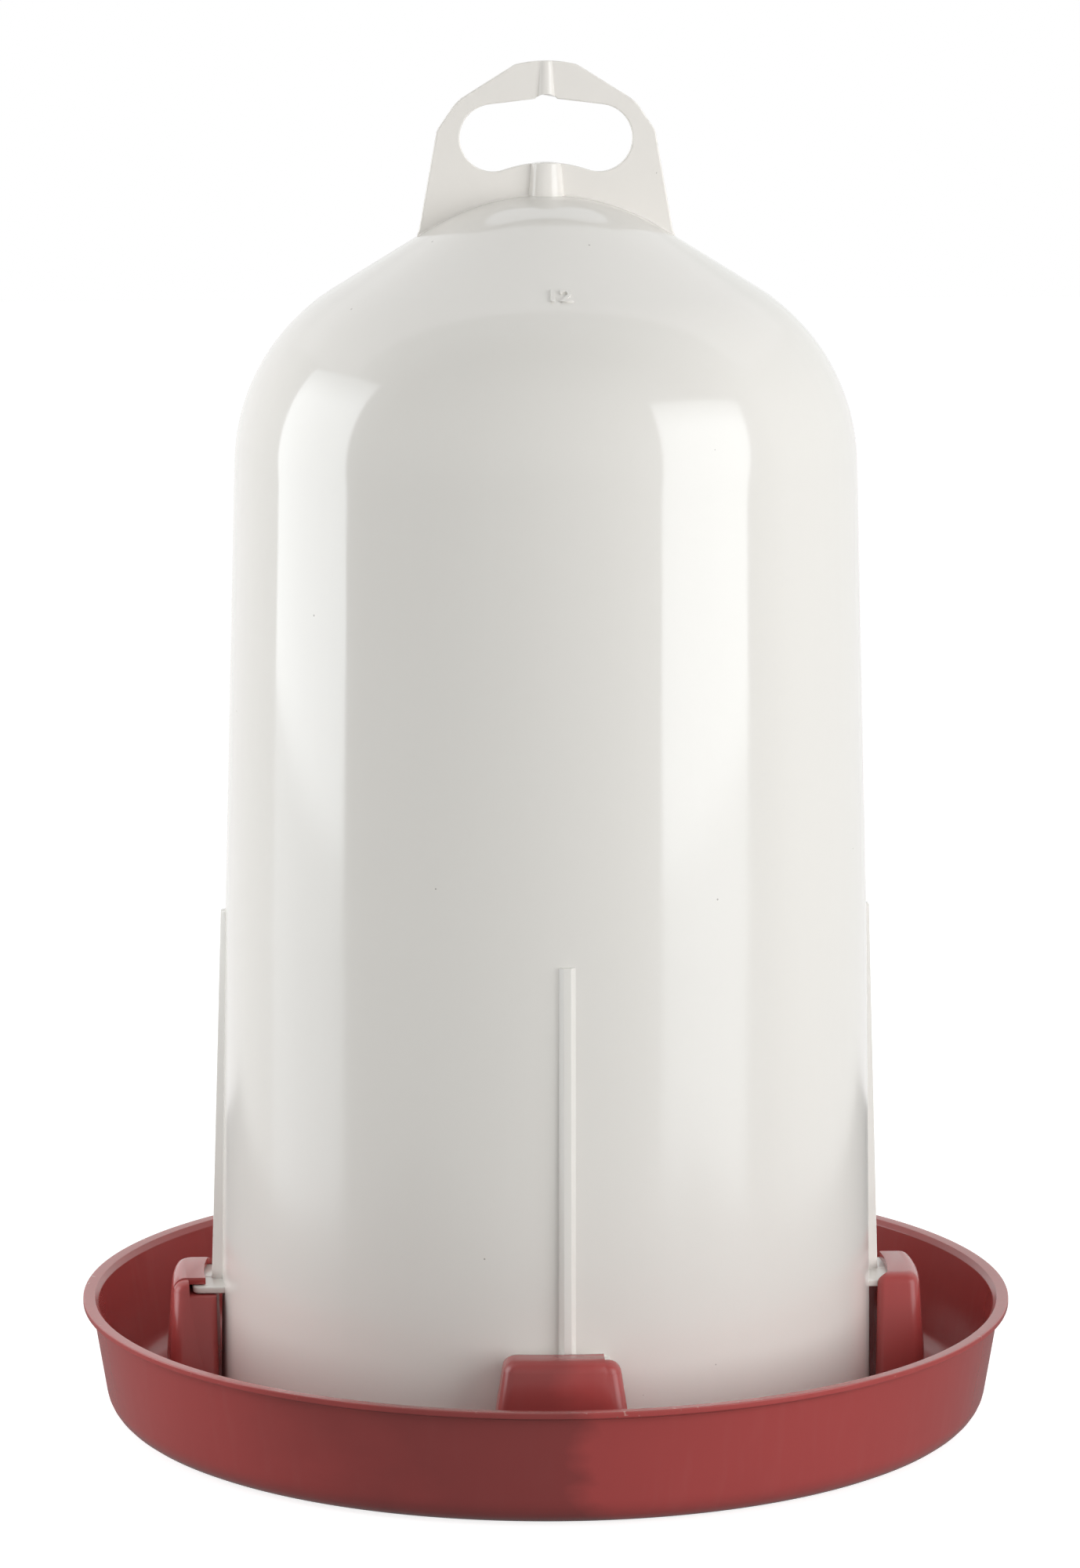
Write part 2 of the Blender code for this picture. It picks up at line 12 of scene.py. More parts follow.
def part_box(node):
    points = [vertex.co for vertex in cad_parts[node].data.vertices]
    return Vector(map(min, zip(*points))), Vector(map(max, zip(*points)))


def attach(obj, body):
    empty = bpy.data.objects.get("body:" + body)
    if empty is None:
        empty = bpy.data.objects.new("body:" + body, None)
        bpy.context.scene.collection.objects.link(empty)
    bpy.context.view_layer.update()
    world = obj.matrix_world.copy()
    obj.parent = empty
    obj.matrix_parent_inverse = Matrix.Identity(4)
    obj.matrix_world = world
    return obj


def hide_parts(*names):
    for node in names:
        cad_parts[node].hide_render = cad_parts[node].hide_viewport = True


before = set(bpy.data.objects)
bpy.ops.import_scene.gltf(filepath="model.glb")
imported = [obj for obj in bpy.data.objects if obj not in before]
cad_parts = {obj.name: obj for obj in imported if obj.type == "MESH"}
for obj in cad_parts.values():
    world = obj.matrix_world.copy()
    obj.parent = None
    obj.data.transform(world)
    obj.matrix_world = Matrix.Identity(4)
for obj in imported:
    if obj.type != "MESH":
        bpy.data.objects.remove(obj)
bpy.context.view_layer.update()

bl_info = {
    "name": "Poultry Drinker",
    "version": (1, 0, 0),
    "blender": (4, 5, 0),
    "location": "View3D > Sidebar > Drinker",
    "description": "Builds a double-cylinder poultry drinker around its packed frame",
    "category": "Add Mesh",
}

COVER_LOW, COVER_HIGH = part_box("outer_cylinder")
TROUGH_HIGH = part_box("trough")[1]
HANDLE_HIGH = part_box("carry_handle")[1]
LUG_LOW, LUG_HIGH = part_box("bayonet_lug_right")
RIB_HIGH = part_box("guide_rib_right")[1]
HOOK_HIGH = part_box("bayonet_hook_right")[1]
TANK_LOW, TANK_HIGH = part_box("inner_tank")

PLACES = {"right": 0.0, "rear": 90.0, "left": 180.0, "front": 270.0}


def length(name, description, default):
    """A size in metres."""
    return FloatProperty(name=name, description=description, default=default, unit="LENGTH",
                         precision=4)


def angle(name, description, degrees):
    """An angle whose default is given in degrees."""
    return FloatProperty(name=name, description=description, default=math.radians(degrees),
                         subtype="ANGLE")


def colour(name, description, default):
    """A colour in linear red, green and blue."""
    return FloatVectorProperty(name=name, description=description, default=default, size=3,
                               subtype="COLOR", min=0.0, max=1.0)


def share(name, description, default):
    """A value from 0 to 1."""
    return FloatProperty(name=name, description=description, default=default, min=0.0, max=1.0,
                         subtype="FACTOR")


# Settings

class CoverSettings(bpy.types.PropertyGroup):
    """Sizes of the outer cylinder."""
    foot_z: length("Foot height", "Height of the lower edge above the ground", COVER_LOW.z)
    foot_radius: length("Foot radius", "Outer radius at the lower edge", COVER_HIGH.x)
    break_z: length("Break height", "Height where the wall's draft changes", RIB_HIGH.z)
    break_radius: length("Break radius", "Outer radius where the draft changes", 0.1215)
    shoulder_z: length("Shoulder height", "Height where the shoulder starts", 0.3634)
    shoulder_radius: length("Shoulder radius", "Outer radius where the shoulder starts", 0.1166)
    shoulder_round: length("Shoulder rounding", "Radius of the shoulder's curve", 0.0780)
    slope: angle("Dome slope", "Slope of the cone between shoulder and crown", 31.5)
    cap_round: length("Crown rounding", "Radius of the crown's curve", 0.0820)
    wall: length("Wall", "Thickness of the wall", 0.0022)
    edge: length("Edge rounding", "Rounding of the lower edge", 0.0008)
    steps: IntProperty(name="Steps", description="Facets around the axis", default=240, min=24)


class HandleSettings(bpy.types.PropertyGroup):
    """Sizes of the carrying handle."""
    top: length("Top", "Height of the handle's top above the ground", HANDLE_HIGH.z)
    thickness: length("Thickness", "Thickness of the flat web", 0.0036)
    edge: length("Edge rounding", "Rounding of the web's edges", 0.0005)
    foot_half: length("Foot half width", "Half the width where the web meets the dome", 0.0472)
    sink: length("Sink", "How far the web reaches into the dome's wall", 0.0012)
    fillet: length("Fillet", "Rounding between the web and the dome", 0.0008)
    grip_round: length("Grip end rounding", "Radius of the finger hole's ends", 0.0124)
    grip_x: length("Grip end offset", "Distance of the hole's end centres from the axis", 0.0197)
    grip_rise: length("Grip height", "Height of those centres above the crown", 0.0211)
    grip_low_round: length("Grip floor rounding", "Radius of the hump under the fingers", 0.0480)
    grip_slope: angle("Grip roof slope", "Slope of the finger hole's upper edges", 7.0)
    notch_round: length("Notch rounding", "Radius of the notch under the upper boss", 0.0056)
    notch_rise: length("Notch height", "Top of the notch above the crown", 0.0373)
    top_round: length("Top rounding", "Radius of the handle's upper edge", 0.0500)
    top_half: length("Top half width", "Half the width of that rounded edge", 0.0115)
    lower_boss_root: length("Lower boss root", "Radius of the lower boss on the dome", 0.0070)
    lower_boss: length("Lower boss", "Radius of the lower boss at its top", 0.0059)
    upper_boss_root: length("Upper boss root", "Radius of the upper boss at the notch", 0.0036)
    upper_boss: length("Upper boss", "Radius of the upper boss at its top", 0.0028)
    boss_edge: length("Boss edge", "Rounding of the bosses' ends", 0.0004)


class WallFittingSettings(bpy.types.PropertyGroup):
    """Sizes of the ribs and lugs on the outer cylinder's wall."""
    rib_half: length("Rib half width", "Half the width of a rib at the wall", 0.0030)
    rib_crest: length("Rib crest", "Half the width of a rib's flat crest", 0.0014)
    rib_reach_low: length("Rib depth below", "How far a rib stands out at its lower end", 0.0040)
    rib_reach_high: length("Rib depth above", "How far a rib stands out at its upper end", 0.0017)
    rib_edge: length("Rib edge", "Rounding of a rib's edges and of its foot on the wall", 0.0004)
    lug_low: length("Lug underside", "Height of a lug's underside", LUG_LOW.z)
    lug_high: length("Lug top", "Height of a lug's upper face", LUG_HIGH.z)
    lug_radius: length("Lug radius", "Radius that the lugs reach", LUG_HIGH.x)
    lug_half: length("Lug half width", "Half the width of a lug", 0.0178)
    lug_lag: angle("Lug lag", "How far the lugs and hooks sit clockwise of the ribs", 1.1)
    lug_corner: length("Lug corner", "Rounding of a lug's outer corners", 0.0030)
    lug_edge: length("Lug edge", "Rounding of a lug's edges", 0.0006)


class TroughSettings(bpy.types.PropertyGroup):
    """Sizes of the trough."""
    radius: length("Radius", "Outer radius of the lip", TROUGH_HIGH.x)
    height: length("Height", "Height of the lip", TROUGH_HIGH.z)
    wall: length("Wall", "Thickness of the wall and floor", 0.0024)
    flare: length("Flare", "How much wider the wall is at its top than at the ground", 0.0068)
    base_round: length("Base rounding", "Rounding between the wall and the foot", 0.0120)
    lip_width: length("Lip width", "Width of the lip's upper face", 0.0044)
    lip_rise: length("Lip rise", "How far the lip's outer edge stands above its inner edge", 0.0002)
    lip_face: length("Lip face", "Height of the lip's upright outer face", 0.0021)
    lip_undercut: length("Lip undercut", "How far the lip stands out over the wall", 0.0035)
    lip_drop: length("Lip drop", "Height of the slanted underside below that face", 0.0013)
    lip_edge: length("Lip edge", "Rounding of the lip's edges", 0.0004)
    plateau_radius: length("Raised floor radius", "Radius of the floor's raised middle", 0.1100)
    plateau_rise: length("Raised floor height", "Height of the raised middle", 0.0010)
    ring_inner: length("Ring radius", "Inner radius of the ring that holds the tank", 0.1041)
    ring_width: length("Ring width", "Thickness of that ring", 0.0025)
    ring_height: length("Ring height", "Height of that ring", 0.0040)
    steps: IntProperty(name="Steps", description="Facets around the axis", default=288, min=24)


class HookSettings(bpy.types.PropertyGroup):
    """Sizes of the bayonet hooks."""
    top: length("Top", "Height of a hook's top", HOOK_HIGH.z)
    inner_radius: length("Inner radius", "Radius of the face towards the outer cylinder", 0.1273)
    depth_top: length("Depth above", "Radial depth at the top", 0.0155)
    depth_foot: length("Depth below", "Radial depth at the floor", 0.0195)
    half_top: length("Half width above", "Half the width at the top", 0.0205)
    half_foot: length("Half width below", "Half the width at the floor", 0.0285)
    corner: length("Corner", "Rounding of the upright outer corners", 0.0050)
    inner_corner: length("Inner corner", "Rounding of the upright inner corners", 0.0028)
    top_round: length("Top rounding", "Rounding along the top", 0.0042)
    skirt: length("Skirt", "Rounding between a hook and the floor", 0.0020)
    end_wall: length("End wall", "Thickness of the slot's closed end", 0.0024)
    cap_setback: length("Cap setback", "How far the cap stands back from the inner face", 0.0036)
    open_end: length("Open end", "How far the cap stops before the open end", 0.0053)
    open_drop: length("Open end drop", "How much lower the back wall is past the cap", 0.0005)
    slot_radius: length("Slot radius", "Radius of the slot's back", 0.1376)
    lock_gap: length("Lock gap", "Gap between a lug and the closed end", 0.0003)
    slot_room: length("Slot room", "Room above and below a lug in its slot", 0.0004)
    edge: length("Edge rounding", "Rounding of cut edges", 0.0004)


class TankSettings(bpy.types.PropertyGroup):
    """Sizes of the inner tank."""
    foot_radius: length("Foot radius", "Outer radius at the foot", 0.1036)
    rim_reach: length("Rim reach", "How far the rim stands out", 0.0015)
    rim_height: length("Rim height", "Height of the rim", 0.0040)
    wall: length("Wall", "Thickness of the wall", 0.0020)
    floor: length("Floor", "Thickness of the floor", 0.0025)
    outlet_radius: length("Outlet radius", "Radius of an outlet", 0.0040)
    outlet_rise: length("Outlet height", "Height of the outlets above the foot", 0.0100)
    steps: IntProperty(name="Steps", description="Facets around the axis", default=144, min=24)


class MarkSettings(bpy.types.PropertyGroup):
    """The capacity number on the dome."""
    text: StringProperty(name="Number", description="Capacity in litres", default="12")
    size: length("Size", "Height of the type", 0.0100)
    radius: length("Radius", "Distance of the number's middle from the axis", 0.0766)
    relief: length("Relief", "How far the number stands out", 0.0007)


class FinishSettings(bpy.types.PropertyGroup):
    """Colours and gloss of the plastics."""
    white: colour("White", "Colour of the outer cylinder", (0.80, 0.779, 0.742))
    # The handle is the cover's plastic made lighter: painted light for light through the
    # translucent web
    handle: colour("Handle", "Colour of the carrying handle", (0.86, 0.83, 0.79))
    red: colour("Red", "Colour of the trough", (0.400, 0.064, 0.061))
    natural: colour("Natural", "Colour of the tank", (0.74, 0.74, 0.71))
    white_roughness: share("White roughness", "Roughness of the white plastic", 0.07)
    red_roughness: share("Red roughness", "Roughness of the red plastic", 0.20)
    natural_roughness: share("Natural roughness", "Roughness of the tank's plastic", 0.38)


class StageSettings(bpy.types.PropertyGroup):
    """Camera, lights and floor."""
    camera_distance: length("Camera distance", "Distance of the camera from the axis", 2.0)
    camera_height: length("Camera height", "Height of the camera", 0.564)
    camera_azimuth: angle("Camera azimuth", "Turn of the camera to the left of the front", 3.6)
    camera_pitch: angle("Camera pitch", "How far the camera looks down", 9.19)
    camera_yaw: angle("Camera yaw", "How far the camera looks past the axis", 0.063)
    lens: FloatProperty(name="Lens", description="Focal length for a 36 mm frame height",
                        default=123.03, unit="CAMERA")
    floor_half: length("Floor half size", "Half the size of the floor", 6.0)


# Plane geometry

def arc(centre, radius, start, end, steps):
    """Points of an arc from one angle to another, both ends included."""
    points = []
    for i in range(steps + 1):
        turn = start + (end - start) * i / steps
        points.append((centre[0] + radius * math.cos(turn), centre[1] + radius * math.sin(turn)))
    return points


def rounded(corners, steps, closed=True):
    """An outline from (x, y, radius) corners. The ends of an open one stay sharp."""
    outline = []
    count = len(corners)
    for i, (x, y, radius) in enumerate(corners):
        if radius <= 0.0 or (not closed and i in (0, count - 1)):
            outline.append((x, y))
            continue
        here = Vector((x, y))
        before = (Vector(corners[i - 1][:2]) - here).normalized()
        after = (Vector(corners[(i + 1) % count][:2]) - here).normalized()
        half = 0.5 * before.angle(after)
        reach = radius / math.tan(half)
        centre = here + (before + after).normalized() * radius / math.sin(half)
        first = here + before * reach - centre
        last = here + after * reach - centre
        start = math.atan2(first.y, first.x)
        turn = (math.atan2(last.y, last.x) - start + math.pi) % (2.0 * math.pi) - math.pi
        outline += arc(centre, radius, start, start + turn, steps)
    return outline


def mix(low, high, part):
    """The value that lies a part of the way from low to high."""
    return low + (high - low) * part


def quarter(steps):
    """Pairs (1 - cos, 1 - sin) that run along a quarter circle from its side to its top."""
    turns = [0.5 * math.pi * i / steps for i in range(steps + 1)]
    return [(1.0 - math.cos(turn), 1.0 - math.sin(turn)) for turn in turns]


# Meshes

SHARP = math.radians(38)
MERGE_DISTANCE = 0.000005


def shaded(mesh):
    """Shades a mesh smoothly and marks its sharp edges."""
    mesh.shade_smooth()
    mesh.set_sharp_from_angle(angle=SHARP)
    return mesh


def finished(name, bm):
    """Makes a shaded mesh of a bmesh, with its faces looking outwards."""
    bmesh.ops.recalc_face_normals(bm, faces=bm.faces)
    mesh = bpy.data.meshes.new(name)
    bm.to_mesh(mesh)
    bm.free()
    return shaded(mesh)


def turned(name, profile, steps):
    """Spins an open (radius, z) profile about the Z axis."""
    bm = bmesh.new()
    verts = [bm.verts.new((radius, 0.0, z)) for radius, z in profile]
    edges = [bm.edges.new(pair) for pair in zip(verts, verts[1:])]
    bmesh.ops.spin(bm, geom=verts + edges, cent=(0, 0, 0), axis=(0, 0, 1), angle=2.0 * math.pi,
                   steps=steps, use_merge=True)
    bmesh.ops.remove_doubles(bm, verts=bm.verts, dist=MERGE_DISTANCE)
    return finished(name, bm)


def lofted(name, rings, closed_ends=True):
    """Joins closed rings of (x, y, z) points."""
    bm = bmesh.new()
    loops = [[bm.verts.new(point) for point in ring] for ring in rings]
    count = len(rings[0])
    for low, high in zip(loops, loops[1:]):
        for i in range(count):
            j = (i + 1) % count
            bm.faces.new((low[i], low[j], high[j], high[i]))
    if closed_ends:
        bm.faces.new(loops[0])
        bm.faces.new(loops[-1])
    return finished(name, bm)


def prism(name, outline, low, high):
    """A straight upright block over an (x, y) outline."""
    return lofted(name, [[(x, y, z) for x, y in outline] for z in (low, high)])


def linked(name, data):
    """An object in the scene for a mesh, curve, lamp or camera."""
    piece = bpy.data.objects.new(name, data)
    bpy.context.scene.collection.objects.link(piece)
    return piece


def evaluated_mesh(piece):
    """A new mesh with the shape that a piece has after its modifiers."""
    graph = bpy.context.evaluated_depsgraph_get()
    return bpy.data.meshes.new_from_object(piece.evaluated_get(graph))


def keep_modified(piece):
    """Makes the result of a piece's modifiers its own mesh."""
    result = evaluated_mesh(piece)
    piece.modifiers.clear()
    piece.data = result


def cut(piece, tool_mesh):
    """Cuts a piece with a closed mesh."""
    tool = linked("cutter", tool_mesh)
    modifier = piece.modifiers.new("cut", "BOOLEAN")
    modifier.operation = "DIFFERENCE"
    modifier.solver = "EXACT"
    modifier.object = tool
    keep_modified(piece)
    bpy.data.objects.remove(tool)


def soften(piece, width):
    """Rounds a piece's sharp edges."""
    modifier = piece.modifiers.new("soft edges", "BEVEL")
    modifier.width = width
    modifier.segments = 2
    modifier.limit_method = "ANGLE"
    modifier.angle_limit = SHARP
    modifier.use_clamp_overlap = True
    keep_modified(piece)
    shaded(piece.data)


def dress(piece, material, body, slot, *nodes):
    """Gives a piece its material and body, and hides the packed nodes that it stands for.
    The slot is not used.
    """
    piece.data.materials.clear()
    piece.data.materials.append(material)
    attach(piece, body)
    if nodes:
        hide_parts(*nodes)


def add_piece(name, mesh, *dressing):
    """Adds a mesh to the scene as a dressed piece."""
    dress(linked(name, mesh), *dressing)


def add_four(kind, mesh, turn, material, body, slot, node):
    """Adds a copy of a mesh at each of the four places round the axis, all turned a bit further."""
    for place, degrees in PLACES.items():
        copy = mesh.copy()
        copy.transform(Matrix.Rotation(math.radians(degrees) + turn, 4, "Z"))
        add_piece(kind + "_" + place, copy, material, body, slot, node + "_" + place)


# The dome and wall as a formula

class Shell:
    """The outer cylinder's section, worked out from its settings. Its points are (radius, z)."""

    def __init__(self, s):
        self.s = s
        self.draft = math.atan((s.break_radius - s.shoulder_radius) / (s.shoulder_z - s.break_z))
        self.shoulder = (s.shoulder_radius - s.shoulder_round * math.cos(self.draft),
                         s.shoulder_z - s.shoulder_round * math.sin(self.draft))
        self.normal = math.pi / 2.0 - s.slope
        self.cone_foot = (self.shoulder[0] + s.shoulder_round * math.cos(self.normal),
                          self.shoulder[1] + s.shoulder_round * math.sin(self.normal))
        self.cone_head = s.cap_round * math.sin(s.slope)
        run = self.cone_foot[0] - self.cone_head
        self.cone_head_z = self.cone_foot[1] + run * math.tan(s.slope)
        self.cap_centre = (0.0, self.cone_head_z - s.cap_round * math.cos(s.slope))
        self.crown = self.cap_centre[1] + s.cap_round

    def wall_radius(self, z):
        """Outer radius of the wall below the shoulder."""
        s = self.s
        if z <= s.break_z:
            return mix(s.foot_radius, s.break_radius, (z - s.foot_z) / (s.break_z - s.foot_z))
        return mix(s.break_radius, s.shoulder_radius, (z - s.break_z) / (s.shoulder_z - s.break_z))

    def dome_z(self, radius):
        """Height of the dome's outside at a distance from the axis, on its crown or cone."""
        if radius <= self.cone_head:
            return self.cap_centre[1] + math.sqrt(self.s.cap_round ** 2 - radius ** 2)
        return self.cone_head_z - (radius - self.cone_head) * math.tan(self.s.slope)

    def profile(self, inset):
        """The section from crown to foot, drawn in by an inset. Its rings lie close together at
        the shoulder, the break and the foot, which keeps these lines crisp."""
        s = self.s
        points = arc(self.cap_centre, s.cap_round - inset, math.pi / 2.0, self.normal, 18)
        points[0] = (0.0, points[0][1])
        points += arc(self.shoulder, s.shoulder_round - inset, self.normal, self.draft, 30)
        heights = [s.shoulder_z - 0.002]
        heights += [mix(s.break_z, s.shoulder_z, part) for part in (0.75, 0.5, 0.25)]
        heights += [s.break_z + rise for rise in (0.0024, 0.0006, -0.0006, -0.0024)]
        heights += [mix(s.foot_z, s.break_z, part) for part in (0.66, 0.33)]
        heights += [s.foot_z + rise for rise in (0.006, 0.002)]
        return points + [(self.wall_radius(z) - inset, z) for z in heights]


# Materials

WHITE = (1.0, 1.0, 1.0, 1.0)
DIRT = (0.16, 0.13, 0.10, 1.0)
# The dark red of the painted shade on the trough's front
PAINTED_SHADE_RED = (0.150, 0.034, 0.033, 1.0)
PALE_NICK = (0.62, 0.40, 0.36, 1.0)
EVEN = (1.0, 1.0, 1.0)


class Nodes:
    """Short ways to add and join the nodes of one material or world."""

    def __init__(self, tree):
        self.tree = tree

    def put(self, value, socket):
        """Sets an input to a value, or joins another node's output to it."""
        if isinstance(value, bpy.types.NodeSocket):
            self.tree.links.new(value, socket)
        else:
            socket.default_value = value

    def add(self, kind, settings=None, **inputs):
        """A new node. Inputs are named as in Blender, with _ for a space."""
        node = self.tree.nodes.new(kind)
        for key, value in (settings or {}).items():
            setattr(node, key, value)
        for key, value in inputs.items():
            self.put(value, node.inputs[key.replace("_", " ")])
        return node

    def maths(self, operation, first, second=0.0):
        """The result of a sum on one or two values."""
        node = self.add("ShaderNodeMath", {"operation": operation})
        for socket, value in zip(node.inputs, (first, second)):
            self.put(value, socket)
        return node.outputs[0]

    def product(self, first, *others):
        """Values multiplied together."""
        for other in others:
            first = self.maths("MULTIPLY", first, other)
        return first

    def hypot(self, first, second):
        """The distance across two offsets at right angles."""
        squares = self.maths("ADD", self.product(first, first), self.product(second, second))
        return self.maths("SQRT", squares)

    def ranged(self, value, low, high, new_low, new_high):
        """A value that runs from low to high, mapped to run between two others, and held there."""
        node = self.add("ShaderNodeMapRange", {"clamp": True}, Value=value, From_Min=low,
                        From_Max=high, To_Min=new_low, To_Max=new_high)
        return node.outputs["Result"]

    def blend(self, factor, first, second):
        """A colour between two others."""
        node = self.add("ShaderNodeMix", {"data_type": "RGBA", "blend_type": "MIX"})
        for place, value in zip((0, 6, 7), (factor, first, second)):
            self.put(value, node.inputs[place])
        return node.outputs[2]

    def coordinates(self, kind="Object"):
        """The x, y and z of a place on the object, or of a direction in the world."""
        place = self.add("ShaderNodeTexCoord")
        parts = self.add("ShaderNodeSeparateXYZ", Vector=place.outputs[kind])
        return [parts.outputs[axis] for axis in "XYZ"]

    def stretched(self, scale):
        """Object coordinates, stretched by a scale along each axis."""
        place = self.add("ShaderNodeTexCoord")
        mapping = self.add("ShaderNodeMapping", Vector=place.outputs["Object"], Scale=scale)
        return mapping.outputs["Vector"]

    def noise(self, scale, size, detail=3.0, roughness=0.5):
        """Soft random patches from 0 to 1, finer for a larger size."""
        node = self.add("ShaderNodeTexNoise", Vector=self.stretched(scale), Scale=size,
                        Detail=detail, Roughness=roughness)
        return node.outputs["Fac"]

    def switched(self, factor, first, second):
        """A mix of two shaders."""
        node = self.add("ShaderNodeMixShader")
        for socket, value in zip(node.inputs, (factor, first.outputs[0], second.outputs[0])):
            self.put(value, socket)
        return node

    def show(self, shader, kind="ShaderNodeOutputMaterial"):
        """Makes a shader the surface of the material or world."""
        self.add(kind, Surface=shader.outputs[0])


def emptied(data):
    """The cleared nodes of a new material or world."""
    data.use_nodes = True
    data.node_tree.nodes.clear()
    return Nodes(data.node_tree)


def moulded_colour(n, base, cloud, streak, specks):
    """A plastic's colour with faint clouds, flow streaks and a few specks of dirt."""
    deeper = (*[part * 0.86 for part in base], 1.0)
    paler = (*[mix(part, 1.0, 0.10) for part in base], 1.0)
    clouds = n.ranged(n.noise((1.0, 1.0, 0.6), 9.0, 4.0), 0.35, 0.70, 0.0, cloud)
    streaks = n.ranged(n.noise((30.0, 30.0, 1.2), 6.0, 2.0), 0.52, 0.75, 0.0, streak)
    tinted = n.blend(streaks, n.blend(clouds, (*base, 1.0), deeper), paler)
    cells = n.add("ShaderNodeTexVoronoi", {"feature": "F1"}, Vector=n.stretched(EVEN), Scale=70.0)
    dot = n.maths("LESS_THAN", cells.outputs["Distance"], 0.028)
    chosen = n.add("ShaderNodeSeparateColor", Color=cells.outputs["Color"])
    rare = n.maths("GREATER_THAN", chosen.outputs["Red"], 1.0 - specks)
    return n.blend(n.product(dot, rare, 0.55), tinted, DIRT)


def scuffs(n, dull, scratch):
    """Extra roughness of handled patches and of upright and level hairline scratches."""
    patches = n.ranged(n.noise(EVEN, 14.0, 5.0, 0.6), 0.40, 0.75, 0.0, dull)
    upright = n.ranged(n.noise((220.0, 220.0, 5.0), 3.0, 2.0), 0.66, 0.72, 0.0, scratch)
    level = n.ranged(n.noise((8.0, 8.0, 260.0), 3.0, 2.0), 0.68, 0.74, 0.0, scratch)
    return n.maths("ADD", patches, n.maths("MAXIMUM", upright, level))


def dulled_foot(n):
    """Extra roughness over the lower wall, which stands in splashed water."""
    z = n.coordinates()[2]
    drift = n.product(n.maths("SUBTRACT", n.noise((1.0, 1.0, 0.5), 12.0, 3.0), 0.5), 0.06)
    return n.ranged(n.maths("ADD", z, drift), 0.070, 0.300, 0.12, 0.0)


def parting_line(n):
    """A fine raised line where the two halves of the mould met, in the handle's plane."""
    aside = n.maths("ABSOLUTE", n.coordinates()[1])
    return n.ranged(aside, 0.0003, 0.0013, 1.0, 0.0)


def edge_wear(n, radius, height):
    """Scattered nicks within about two millimetres of a turned edge, from 0 to 1."""
    x, y, z = n.coordinates()
    across = n.maths("SUBTRACT", n.hypot(x, y), radius)
    away = n.hypot(across, n.maths("SUBTRACT", z, height))
    edge = n.ranged(away, 0.0003, 0.0022, 1.0, 0.0)
    nicks = n.ranged(n.noise((1.0, 1.0, 2.0), 260.0, 4.0, 0.65), 0.62, 0.70, 0.0, 0.9)
    region = n.ranged(n.noise(EVEN, 22.0, 2.0), 0.45, 0.62, 0.12, 1.0)
    return n.product(edge, nicks, region)


def painted_front_shade(n):
    """Painted shade over the front of the trough, left of its middle, from 0 to 1."""
    x, y = n.coordinates()[:2]
    ragged = n.product(n.maths("SUBTRACT", n.noise((1.0, 1.0, 2.5), 14.0, 4.0), 0.5), 0.10)
    sideways = n.maths("ADD", x, ragged)
    right_end = n.ranged(sideways, 0.004, 0.018, 1.0, 0.0)
    left_end = n.ranged(sideways, -0.125, -0.060, 0.0, 1.0)
    front = n.ranged(y, -0.150, -0.110, 1.0, 0.0)
    return n.product(right_end, left_end, front, 0.55)


def moulded_plastic(name, base, roughness, cloud, streak, dull, scratch, wave, specks, gloss,
                    wear_and_shade=None, seamed=False):
    """Moulded plastic with a slow waviness and a fine grain. The (radius, height) given for wear is
    a turned edge that gets pale nicks, and it also brings painted shade over the front of the
    trough.
    Seamed plastic has a parting line and a dulled foot."""
    found = bpy.data.materials.get(name)
    if found is not None:
        return found
    material = bpy.data.materials.new(name)
    material.use_nodes = True
    n = Nodes(material.node_tree)
    shader = material.node_tree.nodes["Principled BSDF"]
    tinted = moulded_colour(n, base, cloud, streak, specks)
    if wear_and_shade is not None:
        # Painted shade: the front of the trough is darkened left of its middle
        tinted = n.blend(painted_front_shade(n), tinted, PAINTED_SHADE_RED)
        tinted = n.blend(edge_wear(n, *wear_and_shade), tinted, PALE_NICK)
    rough = scuffs(n, dull, scratch)
    if seamed:
        rough = n.maths("ADD", rough, dulled_foot(n))
    bump = n.add("ShaderNodeBump", Strength=0.5, Distance=wave,
                 Height=n.noise((1.0, 1.0, 0.45), 16.0, 2.0, 0.4))
    if seamed:
        bump = n.add("ShaderNodeBump", Strength=1.0, Distance=0.0003, Height=parting_line(n),
                     Normal=bump.outputs["Normal"])
    grain = n.add("ShaderNodeBump", Strength=0.02, Distance=0.0001,
                  Height=n.noise(EVEN, 900.0, 2.0), Normal=bump.outputs["Normal"])
    n.put(tinted, shader.inputs["Base Color"])
    n.put(n.maths("ADD", rough, roughness), shader.inputs["Roughness"])
    n.put(grain.outputs["Normal"], shader.inputs["Normal"])
    shader.inputs["Metallic"].default_value = 0.0
    shader.inputs["IOR"].default_value = 1.5
    shader.inputs["Specular IOR Level"].default_value = gloss
    return material


def white_plastic(finish):
    """The glossy white of the outer cylinder."""
    return moulded_plastic("moulded_white", finish.white, finish.white_roughness, cloud=0.06,
                           streak=0.10, dull=0.03, scratch=0.03, wave=0.0005, specks=0.25,
                           gloss=1.0, seamed=True)


def handle_plastic(finish):
    """The slightly warmer white of the carrying handle, made lighter than the cover's white as
    painted light for light passing through the translucent plastic.
    """
    return moulded_plastic("moulded_handle", finish.handle, finish.white_roughness, cloud=0.06,
                           streak=0.10, dull=0.04, scratch=0.04, wave=0.0003, specks=0.15,
                           gloss=0.7)


def red_plastic(finish):
    """The red of the trough and hooks, with pale nicks along the trough's lip and painted
    shade over the trough's front.
    """
    lip_edge = (TROUGH_HIGH.x - 0.0003, TROUGH_HIGH.z - 0.0002)
    return moulded_plastic("moulded_red", finish.red, finish.red_roughness, cloud=0.60, streak=0.05,
                           dull=0.05, scratch=0.015, wave=0.0004, specks=0.12, gloss=0.5,
                           wear_and_shade=lip_edge)


